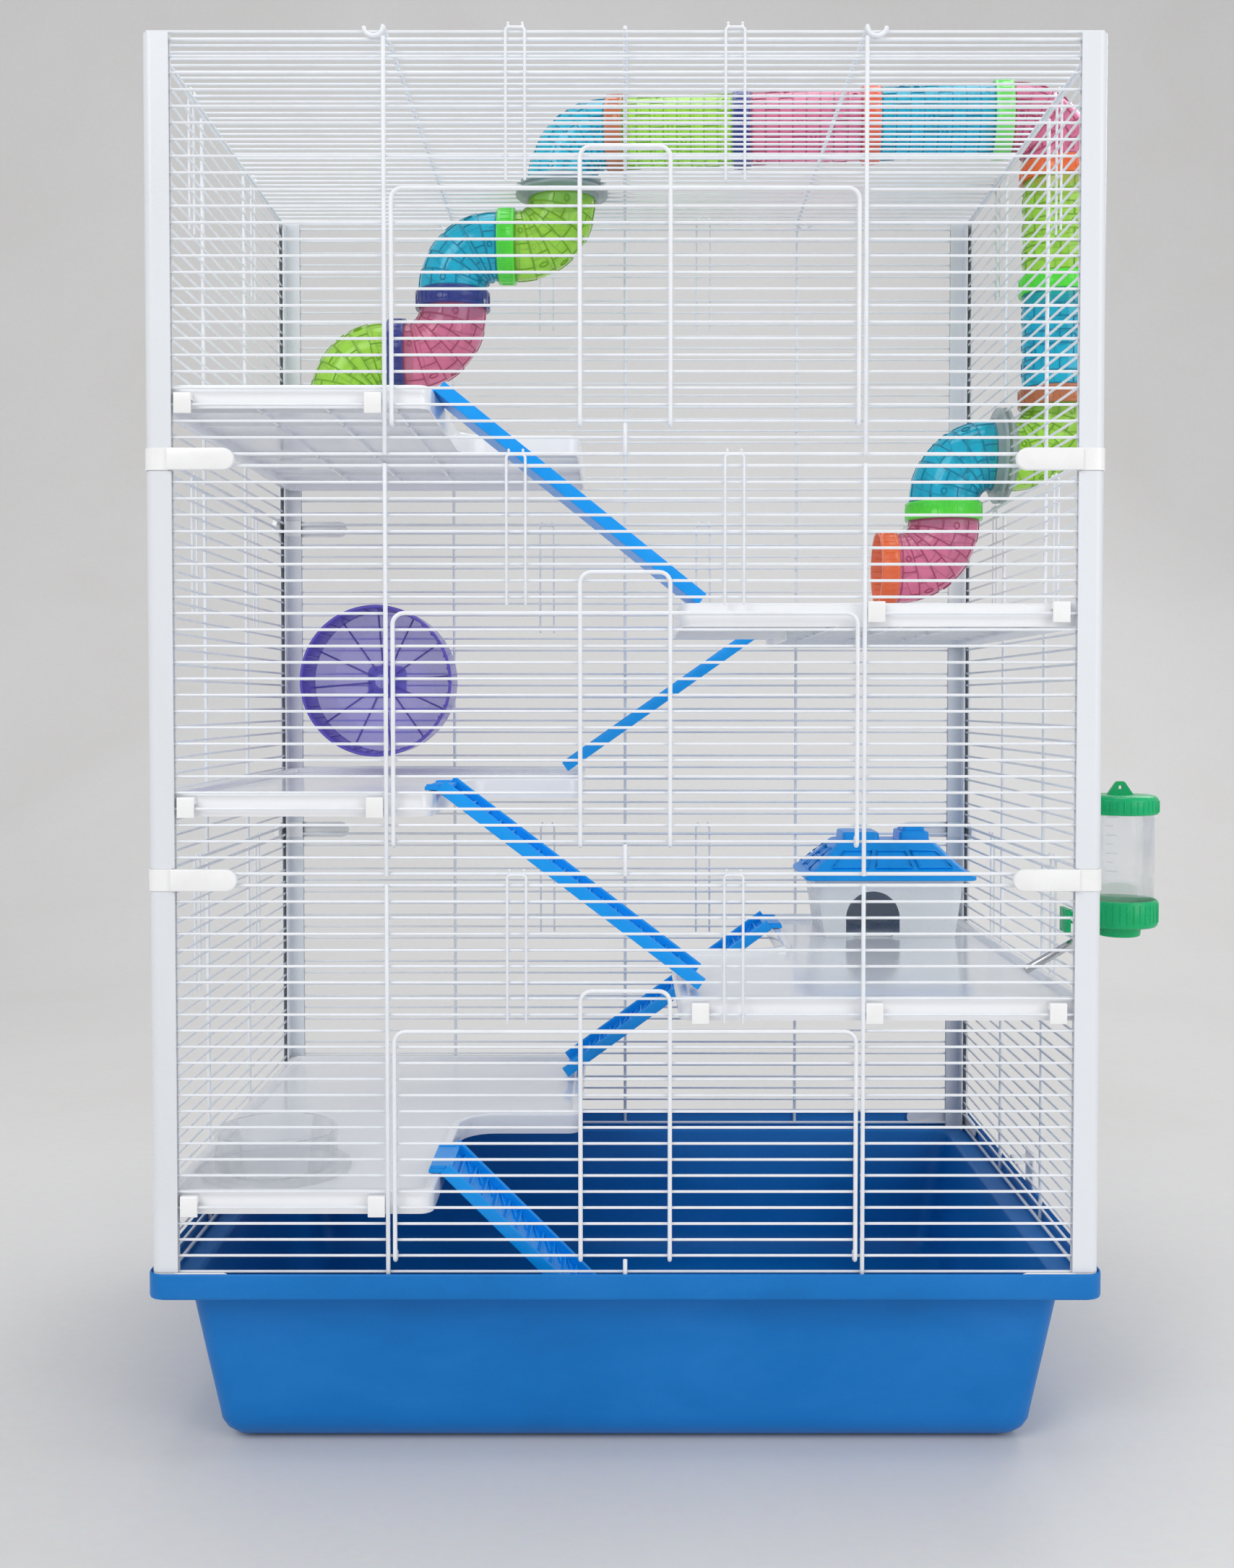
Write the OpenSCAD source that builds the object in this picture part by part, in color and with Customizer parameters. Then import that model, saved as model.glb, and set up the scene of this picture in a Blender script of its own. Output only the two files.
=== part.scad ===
// Five-level wire hamster cage: deep tray, corner posts, wire walls, shelves, ramps and tube run.
// Millimetres, +Z up, front towards -Y, origin at the middle of the tray's flat underside.

/* [Frame] */
// Width over the corner posts
frame_w = 606; // [560:1:640]
// Depth over the corner posts
frame_d = 400; // [380:1:430]
// Height of one storey of wire panels
story_h = 266; // [262:1:270]
// Length of each leg of a corner post
post_leg = 17; // [15:1:22]
// Diameter of the thin wall wires
wire_d = 1.8; // [1.6:0.1:2]
// Diameter of the stiffening rods and door frames
rod_d = 2.8; // [2.4:0.1:2.8]

/* [Tray] */
// Height of the tray to the top of its rim
tray_h = 122; // [110:1:130]
// Height of the band around the rim
rim_band = 17; // [15:1:22]
// Wall thickness of the tray
tray_wall = 2.5; // [2:0.1:3]

/* [Shelves and ramps] */
// Width of the wide half of a shelf
shelf_wide = 262; // [250:1:270]
// Width of the narrow half of a shelf
shelf_narrow = 173; // [160:1:180]
// Depth of the passage notch
notch_d = 187; // [170:1:200]
// Height of a shelf's skirt
shelf_h = 15; // [14:1:16]
// Width of a ramp
ramp_w = 62; // [50:1:64]

/* [Tubes] */
// Outer diameter of the tunnel tubes
tube_d = 55; // [50:0.5:56]
// Wall thickness of the tunnel tubes
tube_wall = 1.8; // [1.4:0.1:2.4]
// Distance from the corner of an elbow to its joint faces
elbow_leg = 45; // [44:1:48]
// Turn of the roof run away from the back wall, in degrees
run_yaw = 6; // [0:1:8]

/* [Accessories] */
// Outer diameter of the running wheel
wheel_d = 127; // [110:1:130]
// Width of the running wheel's track
wheel_t = 52; // [40:1:54]
// Diameter of the water bottle
bottle_d = 49; // [44:1:50]
// Inner diameter of the food dish
dish_d = 82; // [70:1:84]

/* [Hidden] */
$fn = 48;
gap = 0.05;             // weld gap between crossing wires
fit = 0.3;              // clearance between parts
half_w = frame_w / 2;
half_d = frame_d / 2;
base_z = tray_h - rim_band + 3;       // ledge the posts stand on
roof_z = base_z + 3 * story_h + 1;    // plane of the roof wires
function level_z(story) = base_z + story * story_h;

// posts: two nested angles with a slot for the wire ends between them
skin = 1.5;
slot_w = 3;
inner_skin = 1.2;
slot_from = 6;
plane_in = skin + slot_w / 2;         // wire plane, in from the post's outer face
joint_h = 14;                         // height of a corner connector
socket_h = rim_band - 3;              // height of the sockets under the posts

// wire panels
edge = 3.7;                           // border wire to the storey line
intervals = 25;
pitch = (story_h - 2 * edge) / intervals;
border_d = 2.4;
border_y = 0.25;
rod_y = -(rod_d + border_d) / 2 - gap + border_y;
hook_y = -(wire_d + border_d) / 2 - gap + border_y;
stile_x = 151.5;
hinge_i = 2;                          // the door turns on this wire
door_top_i = 16;
hook_len = 88;
hook_half = 6;
front_hooks = [-69, 69];
side_hooks = [-90, 90];
side_rods = [-61, 61];
function row_z(i) = i * pitch;

// doors
door_half = 147;
latch_half = 28.5;
hinge_clear = 0.35;
eye_r = wire_d / 2 + hinge_clear + rod_d / 2;
door_rod_y = -eye_r;
door_wire_y = door_rod_y + (rod_d + wire_d) / 2 + gap;
latch_i = 18.5;

// shelves, numbered from the tray upwards
shelf_z = [for (up = [65, 190, 321, 442, 580]) base_z + up];
shelf_side = half_w - 6.5;
shelf_front = half_d - 6.5;
rim_w = 7;
floor_top = 4;
floor_t = 3;
notch_r = 25;
clip_w = 11;

// ramps
ramp_y = 140;
first_ramp_y = 127;                   // clear of the tray's sloping wall
ramp_t = 2.5;
rail_h = 9;
rail_t = 3;
rung_pitch = 13;

// tubes
tube_r = tube_d / 2;
tube_id = tube_d - 2 * tube_wall;
bend_r = 36;
joint_gap = 0.15;
ring_len = 14;
ring_t = 2.8;
flange_r = 38;
hole_half = 32;
drop_x = -52;                         // where the run passes the roof
drop_y = 109;
wall_z = base_z + 576;                // where the run passes the right wall
wall_x = half_w - plane_in;
riser_x = wall_x + elbow_leg;
riser_y = drop_y - (riser_x - drop_x) * tan(run_yaw);
run_len = (riser_x - drop_x) / cos(run_yaw);
long_tube = (run_len - 2 * elbow_leg) / 3;
short_tube = (roof_z - wall_z - elbow_leg) / 2;
run_z = roof_z + elbow_leg;

// running wheel
wheel_x = -210;
wheel_z = base_z + 397;
wheel_back = 178;
axle_r = 2.9;
cap_y = 165.5;                        // end of the axle, just in front of the hub

// hut
house_x = 217;
house_y = 130;
house_h = 47;

// water bottle
bottle_x = 332.5;
bottle_y = -140;
bottle_z = base_z + 225;
spout_tilt = 30;
spout_r = 3;
ball_r = 2.3;
ball_seat = 1.35;
lip_t = 0.6;

// tray latches
latch_z = base_z + 4;
latch_x = half_w + 7.5;
pin_r = 1.5;

// ---------- helpers ----------

module wire_x(x0, x1, y, z, d) {
    translate([x0, y, z]) rotate([0, 90, 0]) cylinder(h = x1 - x0, d = d);
}

module wire_y(x, y0, y1, z, d) {
    translate([x, y0, z]) rotate([-90, 0, 0]) cylinder(h = y1 - y0, d = d);
}

module wire_z(x, y, z0, z1, d) {
    translate([x, y, z0]) cylinder(h = z1 - z0, d = d);
}

// rectangle with round corners, centred
module round_rect(w, d, r) {
    square([w - 2 * r, d], center = true);
    square([w, d - 2 * r], center = true);
    for (sx = [-1, 1], sy = [-1, 1])
        translate([sx * (w / 2 - r), sy * (d / 2 - r)]) circle(r = r);
}

// rectangle with one round corner at the origin
module corner_square(size, r) {
    translate([r, 0]) square([size - r, size]);
    translate([0, r]) square([size, size - r]);
    translate([r, r]) circle(r = r);
}

// puts a corner part, drawn inwards from its outer corner, on one corner of the frame
module at_corner(sx, sy) {
    translate([sx * half_w, sy * half_d, 0])
        mirror([sx > 0 ? 1 : 0, 0, 0])
            mirror([0, sy > 0 ? 1 : 0, 0])
                children();
}

module at_all_corners() {
    for (sx = [-1, 1], sy = [-1, 1]) at_corner(sx, sy) children();
}

// ---------- tray ----------

taper_x = 20;
taper_y = 8;
tub_r = 20;
tub_corner = 14;
lug_y = 13;

// side profile of the tub: sloping walls, round bottom edges
module tub_profile(top, bottom, h, r) {
    polygon([[-top, h], [-bottom, r], [bottom, r], [top, h]]);
    translate([-bottom + r, 0]) square([2 * (bottom - r), h - 1]);
    for (s = [-1, 1]) translate([s * (bottom - r), r]) circle(r = r);
}

module tub(in, z0) {
    top_x = half_w - post_leg + tray_wall - in;
    top_y = half_d - post_leg + tray_wall - in;
    r = tub_r - in;
    intersection() {
        translate([0, half_d, z0]) rotate([90, 0, 0])
            linear_extrude(frame_d) tub_profile(top_x, top_x - taper_x, tray_h - z0, r);
        translate([-half_w, 0, z0]) rotate([90, 0, 90])
            linear_extrude(frame_w) tub_profile(top_y, top_y - taper_y, tray_h - z0, r);
        linear_extrude(tray_h + 1) round_rect(2 * top_x, 2 * top_y, tub_corner - in);
    }
}

module tray() {
    rim_w_out = frame_w + 6;
    rim_d_out = frame_d + 6;
    color("royalblue") {
        difference() {
            union() {
                intersection() {
                    tub(0, 0);
                    translate([-half_w, -half_d, 0]) cube([frame_w, frame_d, base_z]);
                }
                translate([0, 0, tray_h - rim_band]) linear_extrude(3) round_rect(rim_w_out, rim_d_out, 10);
            }
            tub(tray_wall, tray_wall);
        }
        translate([0, 0, tray_h - rim_band + 1]) linear_extrude(rim_band - 1)
            difference() {
                round_rect(rim_w_out, rim_d_out, 10);
                round_rect(rim_w_out - 3, rim_d_out - 3, 8.5);
            }
        for (sx = [-1, 1], sy = [-1, 1])
            difference() {
                translate([sx * (half_w + 2), sy * lug_y, latch_z]) union() {
                    translate([sx > 0 ? 0 : -5.5, -2, -4]) cube([5.5, 4, 8]);
                    translate([sx * 5.5, 0, 0]) rotate([90, 0, 0]) cylinder(h = 4, r = 4, center = true);
                }
                translate([sx * latch_x, sy * lug_y, latch_z]) rotate([90, 0, 0])
                    cylinder(h = 6, r = pin_r + fit, center = true);
            }
    }
}

// lever that snaps over a side wire and holds the wire top on the tray
module latch(sx) {
    snap_z = level_z(0) + edge + row_z(2.5) - 1;
    color("white") {
        translate([sx * latch_x, 0, latch_z]) rotate([90, 0, 0])
            cylinder(h = 2 * lug_y + 4, r = pin_r, center = true);
        translate([sx * (latch_x + 0.5), 0, latch_z]) rotate([90, 0, 0])
            cylinder(h = 20, r = 2 * pin_r, center = true);
        translate([sx > 0 ? latch_x - 1 : -latch_x - 2, -10, latch_z]) cube([3, 20, snap_z - latch_z + 8]);
        translate([sx > 0 ? wall_x - 3 : -latch_x, -7, snap_z - 1.8]) cube([latch_x - wall_x + 3, 14, 3.6]);
    }
}

module latch_left() { latch(-1); }
module latch_right() { latch(1); }

// ---------- posts and corner parts ----------

module post_profile(grow) {
    difference() {
        translate([-grow, -grow]) corner_square(post_leg + grow, 6 + grow);
        translate([slot_from, skin]) square([post_leg, slot_w]);
        translate([skin, slot_from]) square([slot_w, post_leg]);
        translate([skin + slot_w + inner_skin, skin + slot_w + inner_skin]) square(post_leg);
    }
}

module posts(sx, sy) {
    starts = [base_z + socket_h + fit, level_z(1) + joint_h / 2 + 0.1, level_z(2) + joint_h / 2 + 0.1];
    ends = [level_z(1) - joint_h / 2 - 0.1, level_z(2) - joint_h / 2 - 0.1, level_z(3)];
    color("whitesmoke") at_corner(sx, sy)
        for (i = [0:2]) translate([0, 0, starts[i]]) linear_extrude(ends[i] - starts[i]) post_profile(0);
}

module posts_front_left() { posts(-1, -1); }
module posts_front_right() { posts(1, -1); }
module posts_back_left() { posts(-1, 1); }
module posts_back_right() { posts(1, 1); }

// flat finger with a round end, lying over the border wires along +X
module arm(len, h, t, y0) {
    translate([post_leg - 2, y0, -h / 2]) cube([len - h / 2 + 2, t, h]);
    translate([post_leg + len - h / 2, y0 + t, 0]) rotate([90, 0, 0]) cylinder(h = t, d = h);
}

module connector() {
    translate([0, 0, -joint_h / 2]) linear_extrude(joint_h) post_profile(0.8);
    arm(40, joint_h, 4.4, -2.9);
    mirror([1, -1, 0]) arm(14, joint_h, 4.4, -2.9);
}

module lower_corner_connectors() {
    color("white") translate([0, 0, level_z(1)]) at_all_corners() connector();
}

module upper_corner_connectors() {
    color("white") translate([0, 0, level_z(2)]) at_all_corners() connector();
}

module base_corner_brackets() {
    color("white") at_all_corners() {
        translate([0, 0, base_z + fit]) linear_extrude(socket_h - fit) post_profile(0);
        translate([0, 0, base_z + 8]) {
            arm(34, 12, 1.7, -0.3);
            mirror([1, -1, 0]) arm(34, 12, 1.7, -0.3);
        }
    }
}

// ---------- wire panels ----------

// one panel: half-width, rods and hooks along it, drawn in the XZ plane with its outside at -Y
module wire_panel(half, rods, hooks, door = false, hole = []) {
    top = row_z(intervals);
    for (i = [0, intervals]) wire_x(-half, half, border_y, row_z(i), border_d);
    for (i = [1:intervals - 1])
        if (door && i > hinge_i && i <= door_top_i) {
            wire_x(-half, -stile_x + 1.2, 0, row_z(i), wire_d);
            wire_x(stile_x - 1.2, half, 0, row_z(i), wire_d);
        } else if (len(hole) > 0 && abs(row_z(i) - hole[1]) < hole_half) {
            wire_x(-half, hole[0] - hole_half, 0, row_z(i), wire_d);
            wire_x(hole[0] + hole_half, half, 0, row_z(i), wire_d);
        } else
            wire_x(-half, half, 0, row_z(i), wire_d);
    for (x = rods)
        if (len(hole) > 0 && abs(x - hole[0]) < flange_r + 2)
            wire_z(x, rod_y, hole[1] + flange_r + 1.5, top + border_d / 2, rod_d);
        else
            wire_z(x, rod_y, -border_d / 2, top + border_d / 2, rod_d);
    for (x = hooks) {
        reach = top + 2 * edge - 0.6;
        for (s = [-1, 1])
            wire_z(x + s * hook_half, hook_y, top - hook_len, reach - wire_d / 2 - gap, wire_d);
        wire_x(x - hook_half - wire_d / 2, x + hook_half + wire_d / 2, hook_y, reach, wire_d);
    }
    if (door) wire_z(0, rod_y, -border_d / 2, row_z(hinge_i) - 1.6, rod_d);
}

front_half = half_w - slot_from - 0.5;
side_half = half_d - slot_from - 0.5;

module front_panel(story) {
    color("white") translate([0, plane_in - half_d, level_z(story) + edge])
        wire_panel(front_half, [-stile_x, stile_x], front_hooks, door = true);
}

module front_panel_lower() { front_panel(0); }
module front_panel_middle() { front_panel(1); }
module front_panel_upper() { front_panel(2); }

module back_panels() {
    color("white") for (story = [0:2])
        translate([0, half_d - plane_in, level_z(story) + edge]) rotate([0, 0, 180])
            wire_panel(front_half, [-stile_x, 0, stile_x], front_hooks);
}

module left_panels() {
    color("white") for (story = [0:2])
        translate([plane_in - half_w, 0, level_z(story) + edge]) rotate([0, 0, -90])
            wire_panel(side_half, side_rods, side_hooks);
}

module right_panels() {
    color("white") for (story = [0:2])
        translate([half_w - plane_in, 0, level_z(story) + edge]) rotate([0, 0, 90])
            wire_panel(side_half, side_rods, side_hooks,
                hole = story == 2 ? [riser_y, wall_z - level_z(2) - edge] : []);
}

module roof_panel() {
    rows = 38;
    reach = half_w - 2.6;
    side = half_d - plane_in;
    color("white") {
        for (i = [0:rows]) {
            y = -side + i * 2 * side / rows;
            if (abs(y - drop_y) < hole_half) {
                wire_x(-reach, drop_x - hole_half, y, roof_z, wire_d);
                wire_x(drop_x + hole_half, reach, y, roof_z, wire_d);
            } else
                wire_x(-reach, reach, y, roof_z, wire_d);
        }
        for (x = [-stile_x, 0, stile_x])
            wire_y(x, -side - 1, side + 1, roof_z + (wire_d + rod_d) / 2 + gap, rod_d);
        for (s = [-1, 1])
            wire_y(s * (half_w - 4), -half_d + post_leg + 1, half_d - post_leg - 1,
                roof_z - (wire_d + border_d) / 2 - gap, border_d);
    }
}

// ---------- doors ----------

// flap that turns on a wire through the eyes at the foot of its rods
module door(story) {
    top = row_z(door_top_i);
    latch_top = row_z(latch_i);
    foot = row_z(hinge_i);
    color("white") translate([0, plane_in - half_d, level_z(story) + edge]) {
        for (x = [-door_half, door_half]) hinge_rod(x, foot, top - rod_d / 2 - gap);
        for (x = [-latch_half, latch_half]) hinge_rod(x, foot, latch_top - rod_d / 2 - gap);
        wire_x(-door_half - rod_d / 2, -latch_half - rod_d / 2 - gap, door_rod_y, top, rod_d);
        wire_x(-latch_half + rod_d / 2 + gap, latch_half - rod_d / 2 - gap, door_rod_y, top, rod_d);
        wire_x(latch_half + rod_d / 2 + gap, door_half + rod_d / 2, door_rod_y, top, rod_d);
        wire_x(-latch_half - rod_d / 2, latch_half + rod_d / 2, door_rod_y, latch_top, rod_d);
        for (i = [hinge_i + 1:door_top_i - 1])
            wire_x(-door_half - 1.2, door_half + 1.2, door_wire_y, row_z(i), wire_d);
    }
}

module hinge_rod(x, foot, top) {
    difference() {
        union() {
            translate([x, 0, foot]) rotate([0, 90, 0])
                cylinder(h = rod_d, r = eye_r + rod_d / 2, center = true);
            wire_z(x, door_rod_y, foot, top, rod_d);
        }
        translate([x, 0, foot]) rotate([0, 90, 0])
            cylinder(h = 2 * rod_d, r = eye_r - rod_d / 2, center = true);
    }
}

module door_lower() { door(0); }
module door_middle() { door(1); }
module door_upper() { door(2); }

// ---------- shelves ----------

// outline of a left shelf, from the wall to the middle of the cage, shrunk all round by "in"
module shelf_outline(in) {
    r = 8 - in * 0.6;
    translate([-shelf_side, -shelf_front]) {
        translate([shelf_narrow / 2, shelf_front])
            round_rect(shelf_narrow - 2 * in, 2 * (shelf_front - in), r);
        translate([shelf_wide / 2, (notch_d + 2 * shelf_front) / 2])
            round_rect(shelf_wide - 2 * in, 2 * shelf_front - notch_d - 2 * in, r);
        difference() {
            translate([shelf_narrow - in - 1, notch_d + in - notch_r]) square([notch_r + 1, notch_r + 1]);
            translate([shelf_narrow - in + notch_r, notch_d + in - notch_r]) circle(r = notch_r);
        }
    }
}

module shelf(z) {
    color("white") translate([0, 0, z]) difference() {
        translate([0, 0, -shelf_h]) linear_extrude(shelf_h) shelf_outline(0);
        translate([0, 0, -floor_top]) linear_extrude(floor_top + 1) shelf_outline(rim_w);
        translate([0, 0, -shelf_h - 1]) linear_extrude(shelf_h + 1 - floor_top - floor_t) shelf_outline(2.5);
    }
}

module shelf_right(z) {
    rotate([0, 0, 180]) shelf(z);
}

module shelf_1_left() { shelf(shelf_z[0]); }
module shelf_2_right() { shelf_right(shelf_z[1]); }
module shelf_3_left() { shelf(shelf_z[2]); }
module shelf_4_right() { shelf_right(shelf_z[3]); }
module shelf_5_left() { shelf(shelf_z[4]); }

// hook from a shelf's front lip, between two wires and down over the lower one
module shelf_clip(x, z) {
    front = plane_in - half_d - wire_d / 2;
    translate([x - clip_w / 2, front - 1.7, z - 2.4])
        cube([clip_w, -shelf_front - fit / 3 - front + 1.7, 4.8]);
    translate([x - clip_w / 2, front - 1.7, z - 11]) cube([clip_w, 1.6, 13.4]);
}

module shelf_clips() {
    mids = [5.5, 17.5, 4.5, 16.5, 3.5];
    stories = [0, 0, 1, 1, 2];
    left_x = [-279, -159];
    color("white") for (i = [0:4]) {
        z = level_z(stories[i]) + edge + row_z(mids[i]);
        if (i % 2 == 0) for (x = left_x) shelf_clip(x, z);
        else for (x = i == 1 ? [48, 159, 276] : [159, 276]) shelf_clip(x, z);
    }
}

// ---------- ramps ----------

// stepped channel from the edge of one shelf down to the next, along +X
module ramp(x0, z0, x1, z1) {
    slope = atan2(z0 - z1, x1 - x0);
    len = norm([x1 - x0, z0 - z1]);
    half = ramp_w / 2;
    rungs = floor((len - 14) / rung_pitch);
    translate([x0, 0, z0]) rotate([0, slope, 0]) {
        translate([0, -half, 0]) cube([len, ramp_w, ramp_t]);
        for (s = [-1, 1]) translate([0, s > 0 ? half - rail_t : -half, 0]) cube([len, rail_t, rail_h]);
        for (i = [0:rungs]) translate([8 + i * rung_pitch, -half + 1, 1]) cube([2.5, ramp_w - 2, 4]);
    }
    // lip that rests on the upper shelf's rim
    translate([x0 - rim_w - 1, 0.6 - half, z0 + 0.4]) cube([rim_w + 8, ramp_w - 1.2, 2.6]);
}

edge_x = shelf_side - shelf_narrow;
foot_x = shelf_side - shelf_wide;

module ramp_between(upper, lower, flip, y = ramp_y) {
    color("dodgerblue") rotate([0, 0, flip ? 180 : 0]) translate([0, -y, 0])
        ramp(-edge_x + 0.6, upper, foot_x + 13, lower);
}

module ramp_1() { ramp_between(shelf_z[0], tray_wall + 1, false, first_ramp_y); }
module ramp_2() { ramp_between(shelf_z[1], shelf_z[0] + 0.6, true); }
module ramp_3() { ramp_between(shelf_z[2], shelf_z[1] + 0.6, false); }
module ramp_4() { ramp_between(shelf_z[3], shelf_z[2] + 0.6, true); }
module ramp_5() { ramp_between(shelf_z[4], shelf_z[3] + 0.6, false); }

// ---------- wheel ----------

module at_wheel(y) {
    translate([wheel_x, y, wheel_z]) rotate([90, 0, 0]) children();
}

module wheel() {
    r = wheel_d / 2;
    color("slateblue") at_wheel(wheel_back) difference() {
        union() {
            difference() {
                cylinder(h = wheel_t, r = r, $fn = 96);
                translate([0, 0, 2]) cylinder(h = wheel_t, r = r - 2, $fn = 96);
            }
            translate([0, 0, -5]) cylinder(h = 17, r = 8);
            for (k = [0:11]) rotate([0, 0, 30 * k]) translate([6, -0.8, 1]) cube([r - 7.5, 1.6, 2.4]);
            for (k = [0:23])
                rotate([0, 0, 15 * k]) translate([r - 3.4, -0.8, 1]) cube([2.4, 1.6, wheel_t - 3]);
        }
        translate([0, 0, -6]) cylinder(h = 20, r = axle_r + fit);
    }
}

module wheel_bracket() {
    color("mediumpurple") {
        at_wheel(194) linear_extrude(4) round_rect(34, 28, 6);
        at_wheel(192) cylinder(h = 192 - cap_y, r = axle_r);
        for (s = [-1, 1]) {
            z = level_z(1) + edge + row_z(12.5 + s);
            translate([wheel_x - 8, 193, z - 2.2]) cube([16, 7, 4.4]);
        }
    }
}

module wheel_axle_cap() {
    color("lavender") at_wheel(cap_y) difference() {
        cylinder(h = 3, r = 6);
        translate([-6, -0.6, 2]) cube([12, 1.2, 2]);
    }
}

// ---------- hut ----------

module house_base() {
    w = 122;
    d = 88;
    floor_z = shelf_z[1] - floor_top + 0.1;
    color("aliceblue") translate([house_x, house_y, floor_z]) difference() {
        intersection() {
            translate([0, d / 2, 0]) rotate([90, 0, 0]) linear_extrude(d)
                polygon([[-w / 2 + 8, 0], [w / 2 - 8, 0], [w / 2, house_h], [-w / 2, house_h]]);
            linear_extrude(house_h) round_rect(w, d, 10);
        }
        translate([0, 0, 2]) intersection() {
            translate([0, d / 2, 0]) rotate([90, 0, 0]) linear_extrude(d)
                polygon([[-w / 2 + 10, 0], [w / 2 - 10, 0], [w / 2 - 2, house_h], [-w / 2 + 2, house_h]]);
            linear_extrude(house_h) round_rect(w - 4, d - 4, 8);
        }
        translate([-14, -d / 2 - 1, 2]) rotate([-90, 0, 0]) {
            translate([0, -14, 0]) cylinder(h = 8, r = 22);
            translate([-22, -14, 0]) cube([44, 14, 8]);
        }
    }
}

module house_roof() {
    eave_w = 140;
    eave_d = 104;
    z0 = shelf_z[1] - floor_top + 0.1 + house_h + fit;
    color("dodgerblue") translate([house_x, house_y, z0]) {
        difference() {
            intersection() {
                translate([0, eave_d / 2, 0]) rotate([90, 0, 0]) linear_extrude(eave_d)
                    polygon([[-eave_w / 2, 0], [eave_w / 2, 0], [eave_w / 2, 4], [38, 30], [-40, 30],
                        [-eave_w / 2, 4]]);
                translate([-eave_w / 2, 0, 0]) rotate([90, 0, 90]) linear_extrude(eave_w)
                    polygon([[-eave_d / 2, 0], [eave_d / 2, 0], [eave_d / 2, 4], [26, 30], [-26, 30],
                        [-eave_d / 2, 4]]);
            }
            translate([0, 0, -1]) intersection() {
                translate([0, eave_d / 2 - 4, 0]) rotate([90, 0, 0]) linear_extrude(eave_d - 8)
                    polygon([[-eave_w / 2 + 4, 0], [eave_w / 2 - 4, 0], [36, 28], [-38, 28]]);
                translate([-eave_w / 2 + 4, 0, 0]) rotate([90, 0, 90]) linear_extrude(eave_w - 8)
                    polygon([[-eave_d / 2 + 4, 0], [eave_d / 2 - 4, 0], [24, 28], [-24, 28]]);
            }
        }
        translate([-34, -20, 29]) cube([30, 40, 8]);
        translate([14, -18, 29]) cube([22, 36, 8]);
    }
}

// ---------- dish ----------

module food_dish() {
    r = dish_d / 2;
    color("lightcyan") translate([-238, -131, shelf_z[0] - floor_top + 0.1]) rotate_extrude()
        polygon([[0, 0], [r + 9.5, 0], [r + 9.5, 3], [r + 8, 3], [r + 5, 2], [r, 2], [r, 28], [r - 2, 28],
            [r - 2, 2], [0, 2]]);
}

// ---------- bottle ----------

module at_bottle(z) {
    translate([bottle_x, bottle_y, bottle_z + z]) children();
}

module bottle_cap() {
    r = bottle_d / 2;
    color("seagreen") at_bottle(79) {
        difference() {
            cylinder(h = 13, r = r + 0.5);
            translate([0, 0, -1]) cylinder(h = 12, r = r - 1.6);
        }
        difference() {
            translate([0, 1.5, 12.5]) rotate([90, 0, 0]) linear_extrude(3)
                polygon([[-9, 0], [9, 0], [2.5, 9], [-2.5, 9]]);
            translate([0, 0, 17.5]) rotate([90, 0, 0]) cylinder(h = 8, r = 1.6, center = true);
        }
    }
}

module bottle_body() {
    r = bottle_d / 2 - 2;
    color("lightblue") at_bottle(14.3) difference() {
        cylinder(h = 74, r = r);
        translate([0, 0, 1.5]) cylinder(h = 74, r = r - 1.6);
    }
}

// cup that the bottle screws into, with the clip that grips the side wires
module bottle_base() {
    r = bottle_d / 2 + 0.5;
    clip_z = level_z(0) + edge + row_z(22.5);
    color("seagreen") {
        difference() {
            union() {
                at_bottle(3) cylinder(h = 19, r = r);
                at_bottle(-3) cylinder(h = 7, r = 14);
            }
            at_bottle(14) cylinder(h = 10, r = r - 2.2);
            spout_axis() cylinder(h = 72, r = spout_r + 0.1, center = true);
        }
        translate([wall_x - 3.5, bottle_y - 7, clip_z - 2.2]) cube([bottle_x - 18 - wall_x, 14, 4.4]);
        translate([wall_x - 5, bottle_y - 9, clip_z - 12]) cube([3, 18, 16]);
    }
}

// the spout slants down through the gap between two side wires; its +Z runs from the tip upwards
spout_cross_z = level_z(0) + edge + row_z(20.5);
spout_tip = 35;

module spout_axis() {
    translate([wall_x, bottle_y, spout_cross_z]) rotate([0, 90 - spout_tilt, 0]) children();
}

module bottle_spout() {
    color("silver") spout_axis() difference() {
        translate([0, 0, -spout_tip]) cylinder(h = spout_tip + 34, r = spout_r);
        translate([0, 0, -spout_tip + lip_t]) cylinder(h = spout_tip + 40, r = ball_r + 0.2);
        translate([0, 0, -spout_tip - 1]) cylinder(h = 4, r = 2);
    }
}

module spout_ball() {
    color("gainsboro") spout_axis() translate([0, 0, -spout_tip + lip_t + ball_seat]) sphere(r = ball_r);
}

// ---------- tubes ----------

// elbow from the -X face to the -Z face of a corner at the origin
module elbow() {
    flat = elbow_leg - bend_r - joint_gap;
    translate([-bend_r, 0, -bend_r]) rotate([90, 0, 0]) rotate_extrude(angle = 90, $fn = 96)
        translate([bend_r, 0]) difference() {
            circle(r = tube_r, $fn = 96);
            circle(r = tube_id / 2, $fn = 96);
        }
    translate([-bend_r - flat, 0, 0]) rotate([0, 90, 0]) pipe(flat);
    translate([0, 0, -bend_r - flat]) pipe(flat);
}

module pipe(len) {
    linear_extrude(len) difference() {
        circle(r = tube_r, $fn = 96);
        circle(r = tube_id / 2, $fn = 96);
    }
}

module ring() {
    translate([0, 0, -ring_len / 2]) linear_extrude(ring_len) difference() {
        circle(r = tube_r + fit + ring_t, $fn = 96);
        circle(r = tube_r + fit, $fn = 96);
    }
}

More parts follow.
